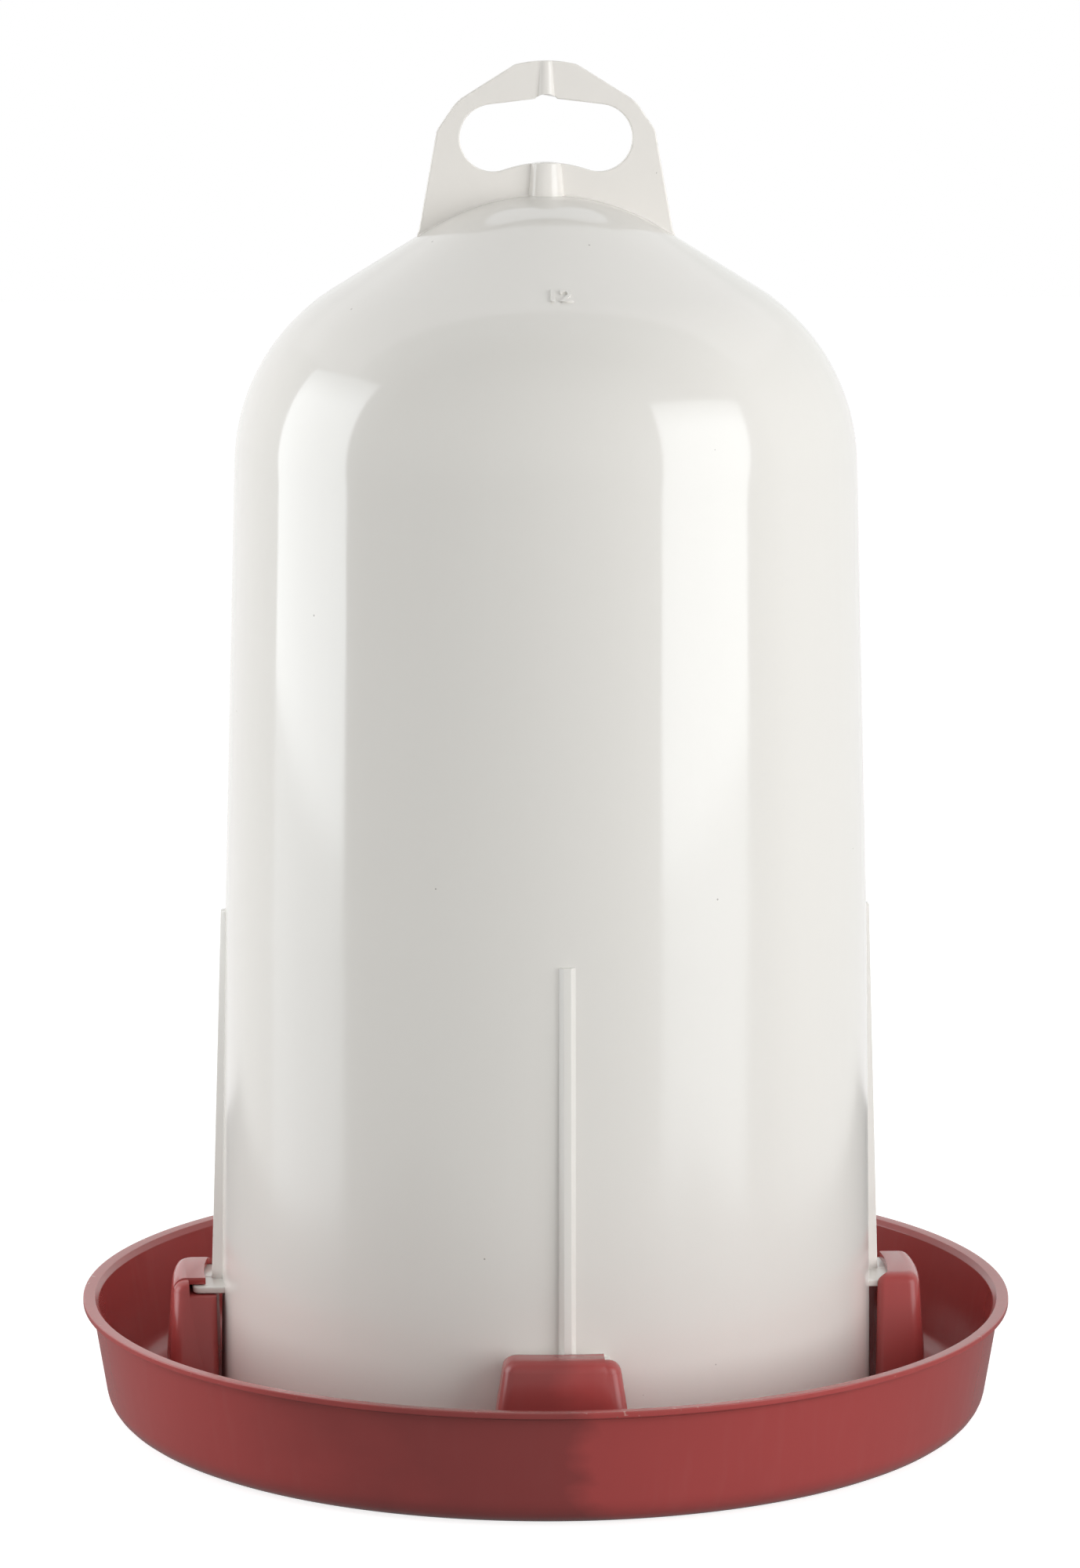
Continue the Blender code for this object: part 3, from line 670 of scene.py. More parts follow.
def natural_plastic(finish):
    """The satin, uncoloured plastic of the tank."""
    return moulded_plastic("moulded_natural", finish.natural, finish.natural_roughness, cloud=0.15,
                           streak=0.15, dull=0.06, scratch=0.04, wave=0.0004, specks=0.12,
                           gloss=0.5)


# Pieces

class Maker:
    """What all operators share."""
    bl_options = {"REGISTER", "UNDO"}


class DRINKER_OT_cover(Maker, bpy.types.Operator):
    """Turn the white outer cylinder with its dome"""
    bl_idname = "drinker.cover"
    bl_label = "Outer Cylinder"

    def execute(self, context):
        s = context.scene.drinker_cover
        shell = Shell(s)
        outside, inside = shell.profile(0.0), shell.profile(s.wall)
        foot = [(*outside[-1], 0.0), (s.foot_radius, s.foot_z, s.edge),
                (s.foot_radius - s.wall, s.foot_z, s.edge), (*inside[-1], 0.0)]
        profile = outside[:-1] + rounded(foot, 5, closed=False) + inside[-2::-1]
        white = white_plastic(context.scene.drinker_finish)
        add_piece("cover_shell", turned("cover_shell", profile, s.steps), white, "cover",
                  "white_plastic", "outer_cylinder")
        return {"FINISHED"}


def grip_heights(s, crown):
    """Heights of the finger hole's end centres, of the centre of the hump under the fingers, and
    of the notch's centre."""
    ends = crown + s.grip_rise
    hump = ends - math.sqrt((s.grip_low_round + s.grip_round) ** 2 - s.grip_x ** 2)
    return ends, hump, crown + s.notch_rise - s.notch_round


def grip_outline(s, crown):
    """The finger hole, with its notch under the upper boss."""
    ends, hump, notch = grip_heights(s, crown)
    hump_turn = math.atan2(ends - hump, s.grip_x)
    roof = math.pi / 2.0 + s.grip_slope
    roof_z = ends + s.grip_round / math.cos(s.grip_slope) + s.grip_x * math.tan(s.grip_slope)
    mouth = s.notch_round * 0.76
    mouth_turn = math.atan2(roof_z - mouth * math.tan(s.grip_slope) - notch, mouth)
    outline = arc((0.0, notch), s.notch_round, mouth_turn, math.pi - mouth_turn, 12)
    outline += arc((-s.grip_x, ends), s.grip_round, roof, 2.0 * math.pi - hump_turn, 26)
    outline += arc((0.0, hump), s.grip_low_round, math.pi - hump_turn, hump_turn, 16)[1:-1]
    outline += arc((s.grip_x, ends), s.grip_round, math.pi + hump_turn, 3.0 * math.pi - roof, 26)
    return outline


# How far the handle's foot flares out at the dome, over which height and with which rounding
FOOT_FLARE, FOOT_RISE, FOOT_ROUND = 0.0016, 0.0022, 0.0030
# The (half width, rise over the crown, rounding) of the corners between the handle's foot and top
SIDE_CORNERS = ((0.0406, 0.0239, 0.0060), (0.0332, 0.0347, 0.0160))


def web_outline(s, shell):
    """The handle's outside, closed along the dome a little under its surface."""
    turn = math.asin(s.top_half / s.top_round)
    toe = s.foot_half + FOOT_FLARE
    right = [(toe, shell.dome_z(toe) - s.sink, 0.0),
             (s.foot_half, shell.dome_z(s.foot_half) + FOOT_RISE, FOOT_ROUND)]
    right += [(x, shell.crown + rise, rounding) for x, rise, rounding in SIDE_CORNERS]
    right.append((s.top_half, s.top - s.top_round * (1.0 - math.cos(turn)), 0.0060))
    top = arc((0.0, s.top - s.top_round), s.top_round, math.pi / 2.0 - 0.6 * turn,
              math.pi / 2.0 + 0.6 * turn, 10)
    left = [(-x, z, rounding) for x, z, rounding in reversed(right)]
    along = [mix(-toe, toe, i / 40) for i in range(1, 40)]
    below = [(x, shell.dome_z(abs(x)) - s.sink, 0.0) for x in along]
    return rounded(right + [(x, z, 0.0) for x, z in top] + left + below, 8)


def web_mesh(s, shell):
    """The flat web with rounded edges and its finger hole, standing in the XZ plane."""
    curve = bpy.data.curves.new("web", "CURVE")
    curve.dimensions = "2D"
    curve.fill_mode = "BOTH"
    curve.extrude = s.thickness / 2.0 - s.edge
    curve.bevel_depth = s.edge
    curve.bevel_resolution = 2
    curve.offset = -s.edge
    for outline in (web_outline(s, shell), grip_outline(s, shell.crown)):
        spline = curve.splines.new("POLY")
        spline.points.add(len(outline) - 1)
        for point, (x, z) in zip(spline.points, outline):
            point.co = (x, z, 0.0, 1.0)
        spline.use_cyclic_u = True
    holder = linked("web", curve)
    mesh = evaluated_mesh(holder)
    bpy.data.objects.remove(holder)
    mesh.transform(Matrix.Rotation(math.pi / 2.0, 4, "X"))
    return shaded(mesh)


def boss_mesh(name, low_radius, high_radius, low_z, high_z, edge):
    """A tapered round boss whose ends follow the height formulas low_z(x, y) and high_z(x, y)."""
    rings = []
    steps = [(0.0, 0.0, 0.0)] + [(1.0, inset, drop) for inset, drop in quarter(4)]
    for part, inset, drop in steps:
        radius = mix(low_radius, high_radius, part) - edge * inset
        ring = []
        for x, y in arc((0.0, 0.0), radius, 0.0, 2.0 * math.pi, 48)[:-1]:
            ring.append((x, y, mix(low_z(x, y), high_z(x, y), part) - edge * drop * part))
        rings.append(ring)
    return lofted(name, rings)


def foot_fillet_mesh(s, shell):
    """A hollow rounding that runs round the web's foot on the dome."""
    half = s.foot_half
    side = s.thickness / 2.0
    corner = 0.0004
    plan = rounded([(half, -side, corner), (half, side, corner), (-half, side, corner),
                    (-half, -side, corner)], 4)
    # The long sides get extra points, so that they follow the dome
    stations = []
    for i, (x, y) in enumerate(plan):
        x2, y2 = plan[(i + 1) % len(plan)]
        count = 40 if math.hypot(x2 - x, y2 - y) > half else 1
        stations += [(mix(x, x2, k / count), mix(y, y2, k / count)) for k in range(count)]
    rings = []
    for out, up in [(0.0, 1.0)] + [(drop, inset) for inset, drop in reversed(quarter(5))][1:]:
        ring = []
        for x, y in stations:
            at_end = abs(x) > half - corner
            px = x + (math.copysign(s.fillet * out, x) if at_end else 0.0)
            py = y + math.copysign(s.fillet * out, y)
            ring.append((px, py, shell.dome_z(math.hypot(px, py)) + s.fillet * up - 0.00004))
        rings.append(ring)
    return lofted("handle_fillet", rings, closed_ends=False)


class DRINKER_OT_handle(Maker, bpy.types.Operator):
    """Make the flat carrying handle with its finger hole and two bosses"""
    bl_idname = "drinker.handle"
    bl_label = "Carrying Handle"

    def execute(self, context):
        s = context.scene.drinker_handle
        shell = Shell(context.scene.drinker_cover)
        hump_z, notch_z = grip_heights(s, shell.crown)[1:]

        def dome(x, y):
            return shell.dome_z(math.hypot(x, y)) - s.sink

        def hump(x, y):
            return hump_z + math.sqrt(s.grip_low_round ** 2 - x ** 2)

        def notch(x, y):
            return notch_z + math.sqrt(s.notch_round ** 2 - x ** 2)

        def summit(x, y):
            return s.top - x ** 2 / (2.0 * s.top_round) - 0.0001

        meshes = {
            "handle_web": web_mesh(s, shell),
            "handle_lower_boss": boss_mesh("handle_lower_boss", s.lower_boss_root, s.lower_boss,
                                           dome, hump, s.boss_edge),
            "handle_upper_boss": boss_mesh("handle_upper_boss", s.upper_boss_root, s.upper_boss,
                                           notch, summit, s.boss_edge),
            "handle_fillet": foot_fillet_mesh(s, shell),
        }
        white = handle_plastic(context.scene.drinker_finish)
        for name, mesh in meshes.items():
            add_piece(name, mesh, white, "cover", "white_plastic", "carry_handle")
        return {"FINISHED"}


ROOT_DEPTH = 0.0006


def rib_section(s, reach):
    """Section of a rib as (out, across): a flat crest, two slanted flanks and a small rounding at
    each edge and at the wall."""
    foot = s.rib_half + 2.0 * s.rib_edge
    side = [(-ROOT_DEPTH, foot, 0.0), (0.0, foot, 0.0), (0.0, s.rib_half, s.rib_edge),
            (reach, s.rib_crest, s.rib_edge)]
    other_side = [(out, -across, rounding) for out, across, rounding in reversed(side)]
    return rounded(side + other_side, 4)


def rib_mesh(s, shell, low, high):
    """A rib that grows shallower towards its squarely cut top."""
    heights = [(low, 0.0)]
    heights += [(high - s.rib_edge * drop, s.rib_edge * inset) for inset, drop in quarter(4)]
    heights += [(high, 0.6 * s.rib_reach_high), (high + 0.0001, s.rib_reach_high)]
    rings = []
    for z, inset in heights:
        reach = mix(s.rib_reach_low, s.rib_reach_high, (z - low) / (high - low)) - inset
        wall = shell.wall_radius(z)
        section = rib_section(s, max(reach, 0.0001))
        rings.append([(wall + out, across, z) for out, across in section])
    return lofted("rib", rings)


class DRINKER_OT_ribs(Maker, bpy.types.Operator):
    """Make the four upright ribs on the wall"""
    bl_idname = "drinker.ribs"
    bl_label = "Ribs"

    def execute(self, context):
        s = context.scene.drinker_fittings
        cover = context.scene.drinker_cover
        mesh = rib_mesh(s, Shell(cover), s.lug_high - 0.0004, cover.break_z)
        white = white_plastic(context.scene.drinker_finish)
        add_four("rib", mesh, 0.0, white, "cover", "white_plastic", "guide_rib")
        return {"FINISHED"}


def curved_edge(radius, half, corners):
    """Corners (x, y, rounding) along an upright face that is part of a cylinder about the Z axis.
    Each is given as its share of the half width and its rounding."""
    return [(math.sqrt(radius ** 2 - (part * half) ** 2), part * half, rounding)
            for part, rounding in corners]


def lug_mesh(s, shell):
    """A flat lug with rounded edges, rooted in the wall."""
    root = shell.wall_radius(s.lug_low) - ROOT_DEPTH
    root_corners = [(part, 0.0) for part in (1.0, 0.5, 0.0, -0.5, -1.0)]
    outer_corners = [(-1.0, s.lug_corner), (-0.6, 0.0), (-0.2, 0.0), (0.2, 0.0), (0.6, 0.0),
                     (1.0, s.lug_corner)]
    levels = [(s.lug_low + s.lug_edge * drop, inset) for inset, drop in reversed(quarter(3))]
    levels += [(s.lug_high - s.lug_edge * drop, inset) for inset, drop in quarter(3)]
    rings = []
    for z, inset in levels:
        half = s.lug_half - s.lug_edge * inset
        reach = s.lug_radius - s.lug_edge * inset
        corners = curved_edge(root, half, root_corners) + curved_edge(reach, half, outer_corners)
        rings.append([(x, y, z) for x, y in rounded(corners, 6)])
    return lofted("lug", rings)


class DRINKER_OT_lugs(Maker, bpy.types.Operator):
    """Make the four bayonet lugs"""
    bl_idname = "drinker.lugs"
    bl_label = "Lugs"

    def execute(self, context):
        s = context.scene.drinker_fittings
        mesh = lug_mesh(s, Shell(context.scene.drinker_cover))
        white = white_plastic(context.scene.drinker_finish)
        add_four("lug", mesh, -s.lug_lag, white, "cover", "white_plastic", "bayonet_lug")
        return {"FINISHED"}


# How much the type is thickened, and the rounding of its edges
TYPE_SWELL, TYPE_EDGE = 0.00005, 0.00012


class DRINKER_OT_mark(Maker, bpy.types.Operator):
    """Raise the plain capacity number on the front of the dome"""
    bl_idname = "drinker.mark"
    bl_label = "Capacity Number"

    def execute(self, context):
        s = context.scene.drinker_mark
        cover = context.scene.drinker_cover
        shell = Shell(cover)
        text = bpy.data.curves.new("capacity", "FONT")
        text.body = s.text
        text.size = s.size
        text.align_x = "CENTER"
        text.align_y = "CENTER"
        text.extrude = s.relief
        text.offset = TYPE_SWELL
        text.bevel_depth = TYPE_EDGE
        text.resolution_u = 6
        holder = linked("capacity", text)
        mesh = evaluated_mesh(holder)
        bpy.data.objects.remove(holder)
        # The type lies flat, and is laid on the cone with its foot downhill
        up, out = math.cos(cover.slope), math.sin(cover.slope)
        for vert in mesh.vertices:
            x, y, z = vert.co
            radius = s.radius - y * up + z * out
            turn = x / s.radius
            height = shell.dome_z(s.radius) + y * out + z * up
            vert.co = (radius * math.sin(turn), -radius * math.cos(turn), height)
        white = white_plastic(context.scene.drinker_finish)
        add_piece("capacity_number", mesh, white, "cover", "white_plastic")
        return {"FINISHED"}


class DRINKER_OT_trough(Maker, bpy.types.Operator):
    """Turn the red trough with its lip, raised floor and tank ring"""
    bl_idname = "drinker.trough"
    bl_label = "Trough"

    def execute(self, context):
        s = context.scene.drinker_trough
        plateau = s.wall + s.plateau_rise
        plateau_foot = s.plateau_radius + s.plateau_rise
        ring_outer = s.ring_inner + s.ring_width
        wall_top = (s.radius - s.lip_undercut, s.height - s.lip_face - s.lip_drop)
        base = wall_top[0] - s.flare
        draft = math.atan2(s.flare, wall_top[1])
        inner_base = base - s.wall / math.cos(draft) + s.wall * math.tan(draft)
        # Each corner is its radius, its height and its rounding
        corners = [(0.0, plateau, 0.0), (s.ring_inner, plateau, 0.0006),
                   (s.ring_inner, plateau + s.ring_height, 0.0008),
                   (ring_outer, plateau + s.ring_height, 0.0008), (ring_outer, plateau, 0.0010),
                   (s.plateau_radius, plateau, 0.0012), (plateau_foot, s.wall, 0.0012),
                   (inner_base, s.wall, s.base_round - s.wall),
                   (wall_top[0] - s.wall, s.height - s.lip_face, 0.0012),
                   (s.radius - s.lip_width, s.height - s.lip_rise, s.lip_edge),
                   (s.radius, s.height, s.lip_edge), (s.radius, s.height - s.lip_face, s.lip_edge),
                   (wall_top[0], wall_top[1], 0.0006),
                   (base, 0.0, s.base_round), (plateau_foot, 0.0, 0.0010),
                   (s.plateau_radius, s.plateau_rise, 0.0010), (0.0, s.plateau_rise, 0.0)]
        profile = rounded(corners, 8, closed=False)
        red = red_plastic(context.scene.drinker_finish)
        add_piece("trough_shell", turned("trough_shell", profile, s.steps), red, "trough",
                  "red_plastic", "trough")
        return {"FINISHED"}


def hook_ring(s, floor, z, inset):
    """Plan outline of a hook at one height, drawn in by an inset. X is radial."""
    part = (z - floor) / (s.top - floor)
    half = mix(s.half_foot, s.half_top, part) - inset
    inner = s.inner_radius + inset
    outer = s.inner_radius + mix(s.depth_foot, s.depth_top, part) - inset
    inner_corner = max(s.inner_corner - 0.25 * inset, 0.0005)
    outer_corner = s.corner - 0.5 * inset
    corners = curved_edge(inner, half, [(1.0, inner_corner), (0.5, 0.0), (0.0, 0.0), (-0.5, 0.0),
                                        (-1.0, inner_corner)])
    corners += curved_edge(outer, half, [(-1.0, outer_corner), (-0.5, 0.0), (0.0, 0.0), (0.5, 0.0),
                                         (1.0, outer_corner)])
    return [(x, y, z) for x, y in rounded(corners, 8)]


def hook_block(s, floor, drop, inset):
    """A hook without its slot, from the floor up to its rounded top."""
    top = s.top - drop
    rings = [hook_ring(s, floor, floor - 0.0003, inset - s.skirt)]
    for narrow, rise in quarter(5):
        rings.append(hook_ring(s, floor, floor + s.skirt * narrow, inset - s.skirt * rise))
    rings.append(hook_ring(s, floor, top - s.top_round, inset))
    for narrow, low in quarter(9)[1:]:
        rings.append(hook_ring(s, floor, top - s.top_round * low, inset + s.top_round * narrow))
    return lofted("hook_block", rings)


def swept(inside, radius, near_y, far_y, start, steps):
    """Outline of a cutter that reaches from inside a hook out to an arc about the Z axis, and from
    near_y past the hook's open end at far_y. Start is where the arc begins."""
    return [(inside, far_y), (inside, near_y)] + arc((0.0, 0.0), radius, start,
                                                     math.asin(far_y / radius), steps)


def hook_mesh(s, fittings, floor):
    """A hook with its slot, cap and lowered open end. The open end is towards +Y."""
    slot_low = fittings.lug_low - s.slot_room
    slot_high = fittings.lug_high + s.slot_room
    closed_y = -(s.half_top - s.end_wall)
    open_y = s.half_top - s.open_end
    beyond = s.half_foot + 0.010
    inside = s.inner_radius - 0.012
    outside = s.slot_radius + 0.02
    above = s.top + 0.004
    piece = linked("hook", hook_block(s, floor, 0.0, 0.0))
    # Past the cap, the back wall stands a little lower
    corner = [(inside, open_y), (outside, open_y), (outside, beyond), (inside, beyond)]
    end = linked("hook_end", prism("hook_end", corner, slot_low + 0.001, above))
    cut(end, hook_block(s, floor, s.open_drop, 0.00003))
    cut(piece, end.data.copy())
    bpy.data.objects.remove(end)
    # The slot that a lug turns into, and the room over its open end
    slot = swept(inside, s.slot_radius, closed_y, beyond, math.asin(closed_y / s.slot_radius), 40)
    cut(piece, prism("slot", slot, slot_low, slot_high))
    past_cap = swept(inside, s.slot_radius - 0.00005, open_y, beyond,
                     math.asin(open_y / s.slot_radius), 24)
    cut(piece, prism("past_cap", past_cap, slot_high - 0.0006, above))
    # The cap stands back from the inner face, except at the closed end
    cap_radius = s.inner_radius + s.cap_setback
    start = 1.3 * s.cap_setback / cap_radius + math.asin(closed_y / cap_radius)
    cap_edge = [(x, y, 0.0) for x, y in swept(inside, cap_radius, closed_y, beyond, start, 40)]
    cap_edge.insert(2, (math.sqrt(cap_radius ** 2 - closed_y ** 2), closed_y, 0.9 * s.cap_setback))
    cut(piece, prism("cap_edge", rounded(cap_edge, 8), slot_high - 0.0005, above))
    soften(piece, s.edge)
    mesh = piece.data
    bpy.data.objects.remove(piece)
    return mesh


class DRINKER_OT_hooks(Maker, bpy.types.Operator):
    """Make the four slotted hooks that stand in the trough"""
    bl_idname = "drinker.hooks"
    bl_label = "Bayonet Hooks"

    def execute(self, context):
        s = context.scene.drinker_hooks
        fittings = context.scene.drinker_fittings
        mesh = hook_mesh(s, fittings, context.scene.drinker_trough.wall)
        locked = fittings.lug_half + s.lock_gap - s.half_top + s.end_wall
        lag = fittings.lug_lag + math.asin(locked / s.inner_radius)
        red = red_plastic(context.scene.drinker_finish)
        add_four("hook", mesh, -lag, red, "trough", "red_plastic", "bayonet_hook")
        return {"FINISHED"}


class DRINKER_OT_tank(Maker, bpy.types.Operator):
    """Turn the open-topped inner tank and drill its outlets"""
    bl_idname = "drinker.tank"
    bl_label = "Inner Tank"

    def execute(self, context):
        s = context.scene.drinker_tank
        low, high, rim = TANK_LOW.z, TANK_HIGH.z, TANK_HIGH.x
        outer_top = rim - s.rim_reach
        # Each corner is its radius, its height and its rounding
        corners = [(0.0, low + s.floor, 0.0), (s.foot_radius - s.wall, low + s.floor, 0.0030),
                   (outer_top - s.wall, high, 0.0006), (rim, high, 0.0012),
                   (rim, high - s.rim_height, 0.0004),
                   (outer_top, high - s.rim_height - s.rim_reach, 0.0010),
                   (s.foot_radius, low, 0.0040), (0.0, low, 0.0)]
        profile = rounded(corners, 6, closed=False)
        piece = linked("tank_shell", turned("tank_shell", profile, s.steps))
        hole = arc((0.0, low + s.outlet_rise), s.outlet_radius, 0.0, 2.0 * math.pi, 32)[:-1]
        # Two outlets face each other, each drilled from inside the wall to outside it
        for degrees in (45.0, 225.0):
            drill = lofted("drill", [[(x, y, z) for y, z in hole] for x in (0.090, 0.115)])
            drill.transform(Matrix.Rotation(math.radians(degrees), 4, "Z"))
            cut(piece, drill)
        shaded(piece.data)
        dress(piece, natural_plastic(context.scene.drinker_finish), "tank", "natural_plastic",
              "inner_tank")
        return {"FINISHED"}


# Stage

LAMP_TARGET = Vector((0.0, 0.0, 0.26))
LAMP_WIDTH, LAMP_HEIGHT = 1.3, 1.24
LAMPS = {
    "right_lamp": ((50.0, 1.75, 0.54), 4.0),
    "left_lamp": ((-99.0, 1.75, 0.54), 3.9),
}
# Corners of the upright cards as (azimuth, distance, height), and their brightness
UNDER, LOW, HIGH = -0.60, 0.05, 1.58
CARDS = {
    "right_card": (((36.5, 1.51, LOW), (71.4, 2.09, LOW), (81.0, 2.07, HIGH), (41.1, 1.49, HIGH)),
                   2.75),
    "left_card": (((-77.0, 1.49, LOW), (-115.3, 2.21, LOW), (-121.9, 2.19, HIGH),
                   (-83.1, 1.47, HIGH)), 3.0),
    "right_low_card": (((34.5, 1.52, UNDER), (67.3, 2.10, UNDER), (71.4, 2.09, LOW),
                        (36.5, 1.51, LOW)), 1.6),
    "left_low_card": (((-74.4, 1.50, UNDER), (-112.5, 2.22, UNDER), (-115.3, 2.21, LOW),
                       (-77.0, 1.49, LOW)), 1.6),
}
# The floor lies just under the foot, with a card between them
FLOOR_Z = -0.0002
# Half the width, the near and far edge and the height of the level cards, and their brightness
LEVEL_CARDS = {
    "overhead_card": ((3.0, 0.47, 4.4, 2.5), 2.1),
    "shaded_ground": ((0.5, -0.5, 0.5, 0.5 * FLOOR_Z), 0.25),
}
COOL_WHITE = (0.94, 0.98, 1.0, 1.0)
DIM_WHITE = (0.99, 1.0, 0.985, 1.0)


def around(azimuth, distance, height):
    """A place at an azimuth in degrees to the right of the front, as seen from the camera."""
    turn = math.radians(azimuth)
    return Vector((math.sin(turn) * distance, -math.cos(turn) * distance, height))


def level(x_half, y_low, y_high, z):
    """Corners of a level rectangle."""
    return [(-x_half, y_low, z), (x_half, y_low, z), (x_half, y_high, z), (-x_half, y_high, z)]


def add_sheet(name, corners, material):
    """Adds a flat four-cornered piece of the stage."""
    mesh = bpy.data.meshes.new(name)
    mesh.from_pydata(corners, [], [(0, 1, 2, 3)])
    mesh.materials.append(material)
    piece = linked(name, mesh)
    return piece


def add_lamp(name, place, radiance):
    """A soft rectangular lamp that points at the drinker and isn't seen in reflections."""
    data = bpy.data.lights.new(name, "AREA")
    data.shape = "RECTANGLE"
    data.size = LAMP_WIDTH
    data.size_y = LAMP_HEIGHT
    data.energy = radiance * math.pi * LAMP_WIDTH * LAMP_HEIGHT
    piece = linked(name, data)
    piece.location = place
    piece.rotation_euler = (LAMP_TARGET - place).to_track_quat("-Z", "Y").to_euler()
    piece.visible_glossy = False


def add_card(name, corners, brightness, colour):
    """A glowing card that shows only in reflections, and is dimmer above 1.15 m."""
    material = bpy.data.materials.new(name)
    n = emptied(material)
    fading = n.ranged(n.coordinates()[2], 1.15, 1.57, brightness, 0.55 * brightness)
    n.show(n.add("ShaderNodeEmission", Color=colour, Strength=fading))
    piece = add_sheet(name, corners, material)
    piece.visible_camera = False
    piece.visible_diffuse = False
    piece.visible_transmission = False
    piece.visible_shadow = False


def floor_material():
    """A floor that the camera sees as white with the drinker's soft shadow on it. For other rays
    it is mid grey, so that the light from it doesn't wash out the foot of the trough."""
    material = bpy.data.materials.new("studio_floor")
    n = emptied(material)
    grey = n.add("ShaderNodeBsdfDiffuse", Color=(0.45, 0.45, 0.45, 1.0))
    shadowed = n.add("ShaderNodeBsdfDiffuse", Color=(0.50, 0.50, 0.50, 1.0))
    glow = n.add("ShaderNodeEmission", Color=WHITE, Strength=0.82)
    seen = n.add("ShaderNodeAddShader")
    n.put(shadowed.outputs[0], seen.inputs[0])
    n.put(glow.outputs[0], seen.inputs[1])
    path = n.add("ShaderNodeLightPath")
    n.show(n.switched(path.outputs["Is Camera Ray"], grey, seen))
    return material


def behind(n, x, y, slope, blur):
    """A sector of directions behind the drinker, from 0 to 1. Its edges lie where |x| is slope
    times y."""
    inward = n.maths("SUBTRACT", n.product(y, slope), n.maths("ABSOLUTE", x))
    return n.ranged(inward, -blur, blur, 0.0, 1.0)


def studio_world():
    """White to the camera, with a white sweep behind the drinker and a dim studio elsewhere. The
    gloss mirrors a narrower sweep than the one that lights the edges."""
    world = bpy.data.worlds.new("studio")
    n = emptied(world)
    path = n.add("ShaderNodeLightPath")
    glossy = path.outputs["Is Glossy Ray"]
    x, y, z = n.coordinates("Generated")
    lighting = n.product(behind(n, x, y, 1.3, 0.05), n.ranged(z, 0.02, 0.22, 1.0, 0.45))
    horizon = n.ranged(z, 0.03, 0.08, 1.0, 0.0)
    left = n.product(n.ranged(x, -0.14, -0.06, 1.0, 0.0), n.ranged(z, 0.38, 0.46, 1.0, 0.0))
    mirrored = n.product(behind(n, x, y, 0.75, 0.02), n.maths("MAXIMUM", horizon, left))
    sweep = n.maths("ADD", n.product(mirrored, glossy),
                    n.product(lighting, n.maths("SUBTRACT", 1.0, glossy)))
    sweep = n.product(sweep, n.ranged(z, -0.42, -0.27, 0.25, 1.0))
    shown = n.maths("MAXIMUM", path.outputs["Is Camera Ray"], sweep)
    front = n.ranged(y, -0.6, 0.0, 0.65, 0.44)
    sides = n.product(glossy, n.ranged(y, -0.25, 0.10, 0.0, 0.58))
    above = n.ranged(z, 0.40, 0.90, 1.0, 0.75)
    below = n.ranged(z, -0.50, -0.30, 0.60, 1.0)
    strength = n.product(n.maths("ADD", front, sides), above, below)
    studio = n.add("ShaderNodeBackground", Color=DIM_WHITE, Strength=strength)
    white = n.add("ShaderNodeBackground", Color=WHITE, Strength=1.0)
    n.show(n.switched(shown, studio, white), "ShaderNodeOutputWorld")
    return world


def add_camera(s):
    """A camera that was fitted to the drinker's outline in the photo."""
    data = bpy.data.cameras.new("camera")
    data.lens = s.lens
    data.sensor_width = 36.0
    data.clip_end = 50.0
    camera = linked("camera", data)
    camera.location = around(-math.degrees(s.camera_azimuth), s.camera_distance, s.camera_height)
    camera.rotation_euler = (math.pi / 2.0 - s.camera_pitch, 0.0, s.camera_yaw - s.camera_azimuth)
    return camera


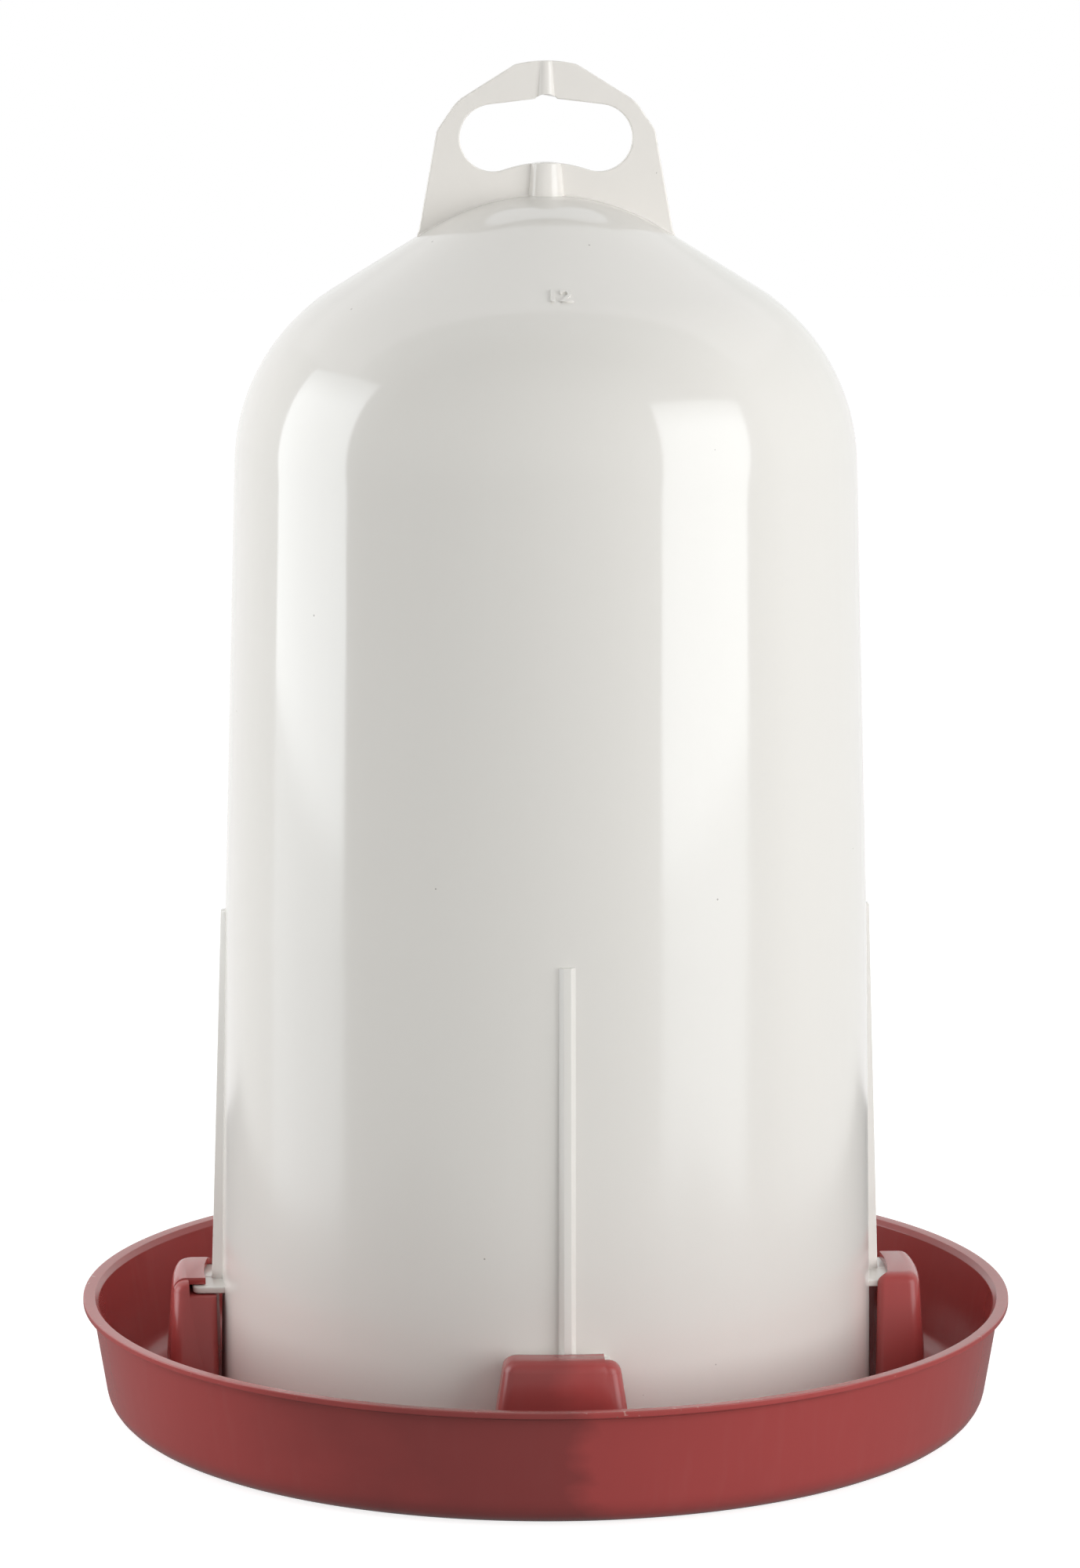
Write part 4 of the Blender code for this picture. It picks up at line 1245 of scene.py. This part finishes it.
class DRINKER_OT_stage(Maker, bpy.types.Operator):
    """Set up the floor, the studio light and the camera"""
    bl_idname = "drinker.stage"
    bl_label = "Studio"

    def execute(self, context):
        s = context.scene.drinker_stage
        scene = context.scene
        half = s.floor_half
        floor = add_sheet("studio_floor", level(half, -half, half, 0.0), floor_material())
        floor.location.z = FLOOR_Z
        floor.visible_glossy = False
        scene.world = studio_world()
        for name, (place, radiance) in LAMPS.items():
            add_lamp(name, around(*place), radiance)
        for name, (corners, brightness) in CARDS.items():
            add_card(name, [around(*corner) for corner in corners], brightness, COOL_WHITE)
        for name, (place, brightness) in LEVEL_CARDS.items():
            add_card(name, level(*place), brightness, WHITE)
        scene.camera = add_camera(s)
        scene.view_settings.view_transform = "Standard"
        return {"FINISHED"}


class DRINKER_PT_panel(bpy.types.Panel):
    """Buttons and sizes of the poultry drinker"""
    bl_label = "Poultry Drinker"
    bl_idname = "DRINKER_PT_panel"
    bl_space_type = "VIEW_3D"
    bl_region_type = "UI"
    bl_category = "Drinker"

    def draw(self, context):
        for name, (_, *operators) in GROUPS.items():
            box = self.layout.box()
            for operator in operators:
                box.operator(operator.bl_idname)
            settings = getattr(context.scene, name)
            for key in settings.bl_rna.properties.keys():
                if key not in ("rna_type", "name"):
                    box.prop(settings, key)


# Each group of settings, with its class and the operators that it belongs to
GROUPS = {
    "drinker_cover": (CoverSettings, DRINKER_OT_cover),
    "drinker_handle": (HandleSettings, DRINKER_OT_handle),
    "drinker_fittings": (WallFittingSettings, DRINKER_OT_ribs, DRINKER_OT_lugs),
    "drinker_mark": (MarkSettings, DRINKER_OT_mark),
    "drinker_trough": (TroughSettings, DRINKER_OT_trough),
    "drinker_hooks": (HookSettings, DRINKER_OT_hooks),
    "drinker_tank": (TankSettings, DRINKER_OT_tank),
    "drinker_finish": (FinishSettings,),
    "drinker_stage": (StageSettings, DRINKER_OT_stage),
}
CLASSES = [cls for group in GROUPS.values() for cls in group] + [DRINKER_PT_panel]


def register():
    for cls in CLASSES:
        bpy.utils.register_class(cls)
    for name, group in GROUPS.items():
        setattr(bpy.types.Scene, name, PointerProperty(type=group[0]))


def unregister():
    for name in GROUPS:
        delattr(bpy.types.Scene, name)
    for cls in reversed(CLASSES):
        bpy.utils.unregister_class(cls)


def main():
    """Builds the drinker and its studio."""
    register()
    bpy.ops.drinker.cover()
    bpy.ops.drinker.handle()
    bpy.ops.drinker.ribs()
    bpy.ops.drinker.lugs()
    bpy.ops.drinker.mark()
    bpy.ops.drinker.trough()
    bpy.ops.drinker.hooks()
    bpy.ops.drinker.tank()
    bpy.ops.drinker.stage()


if __name__ == "__main__":
    main()
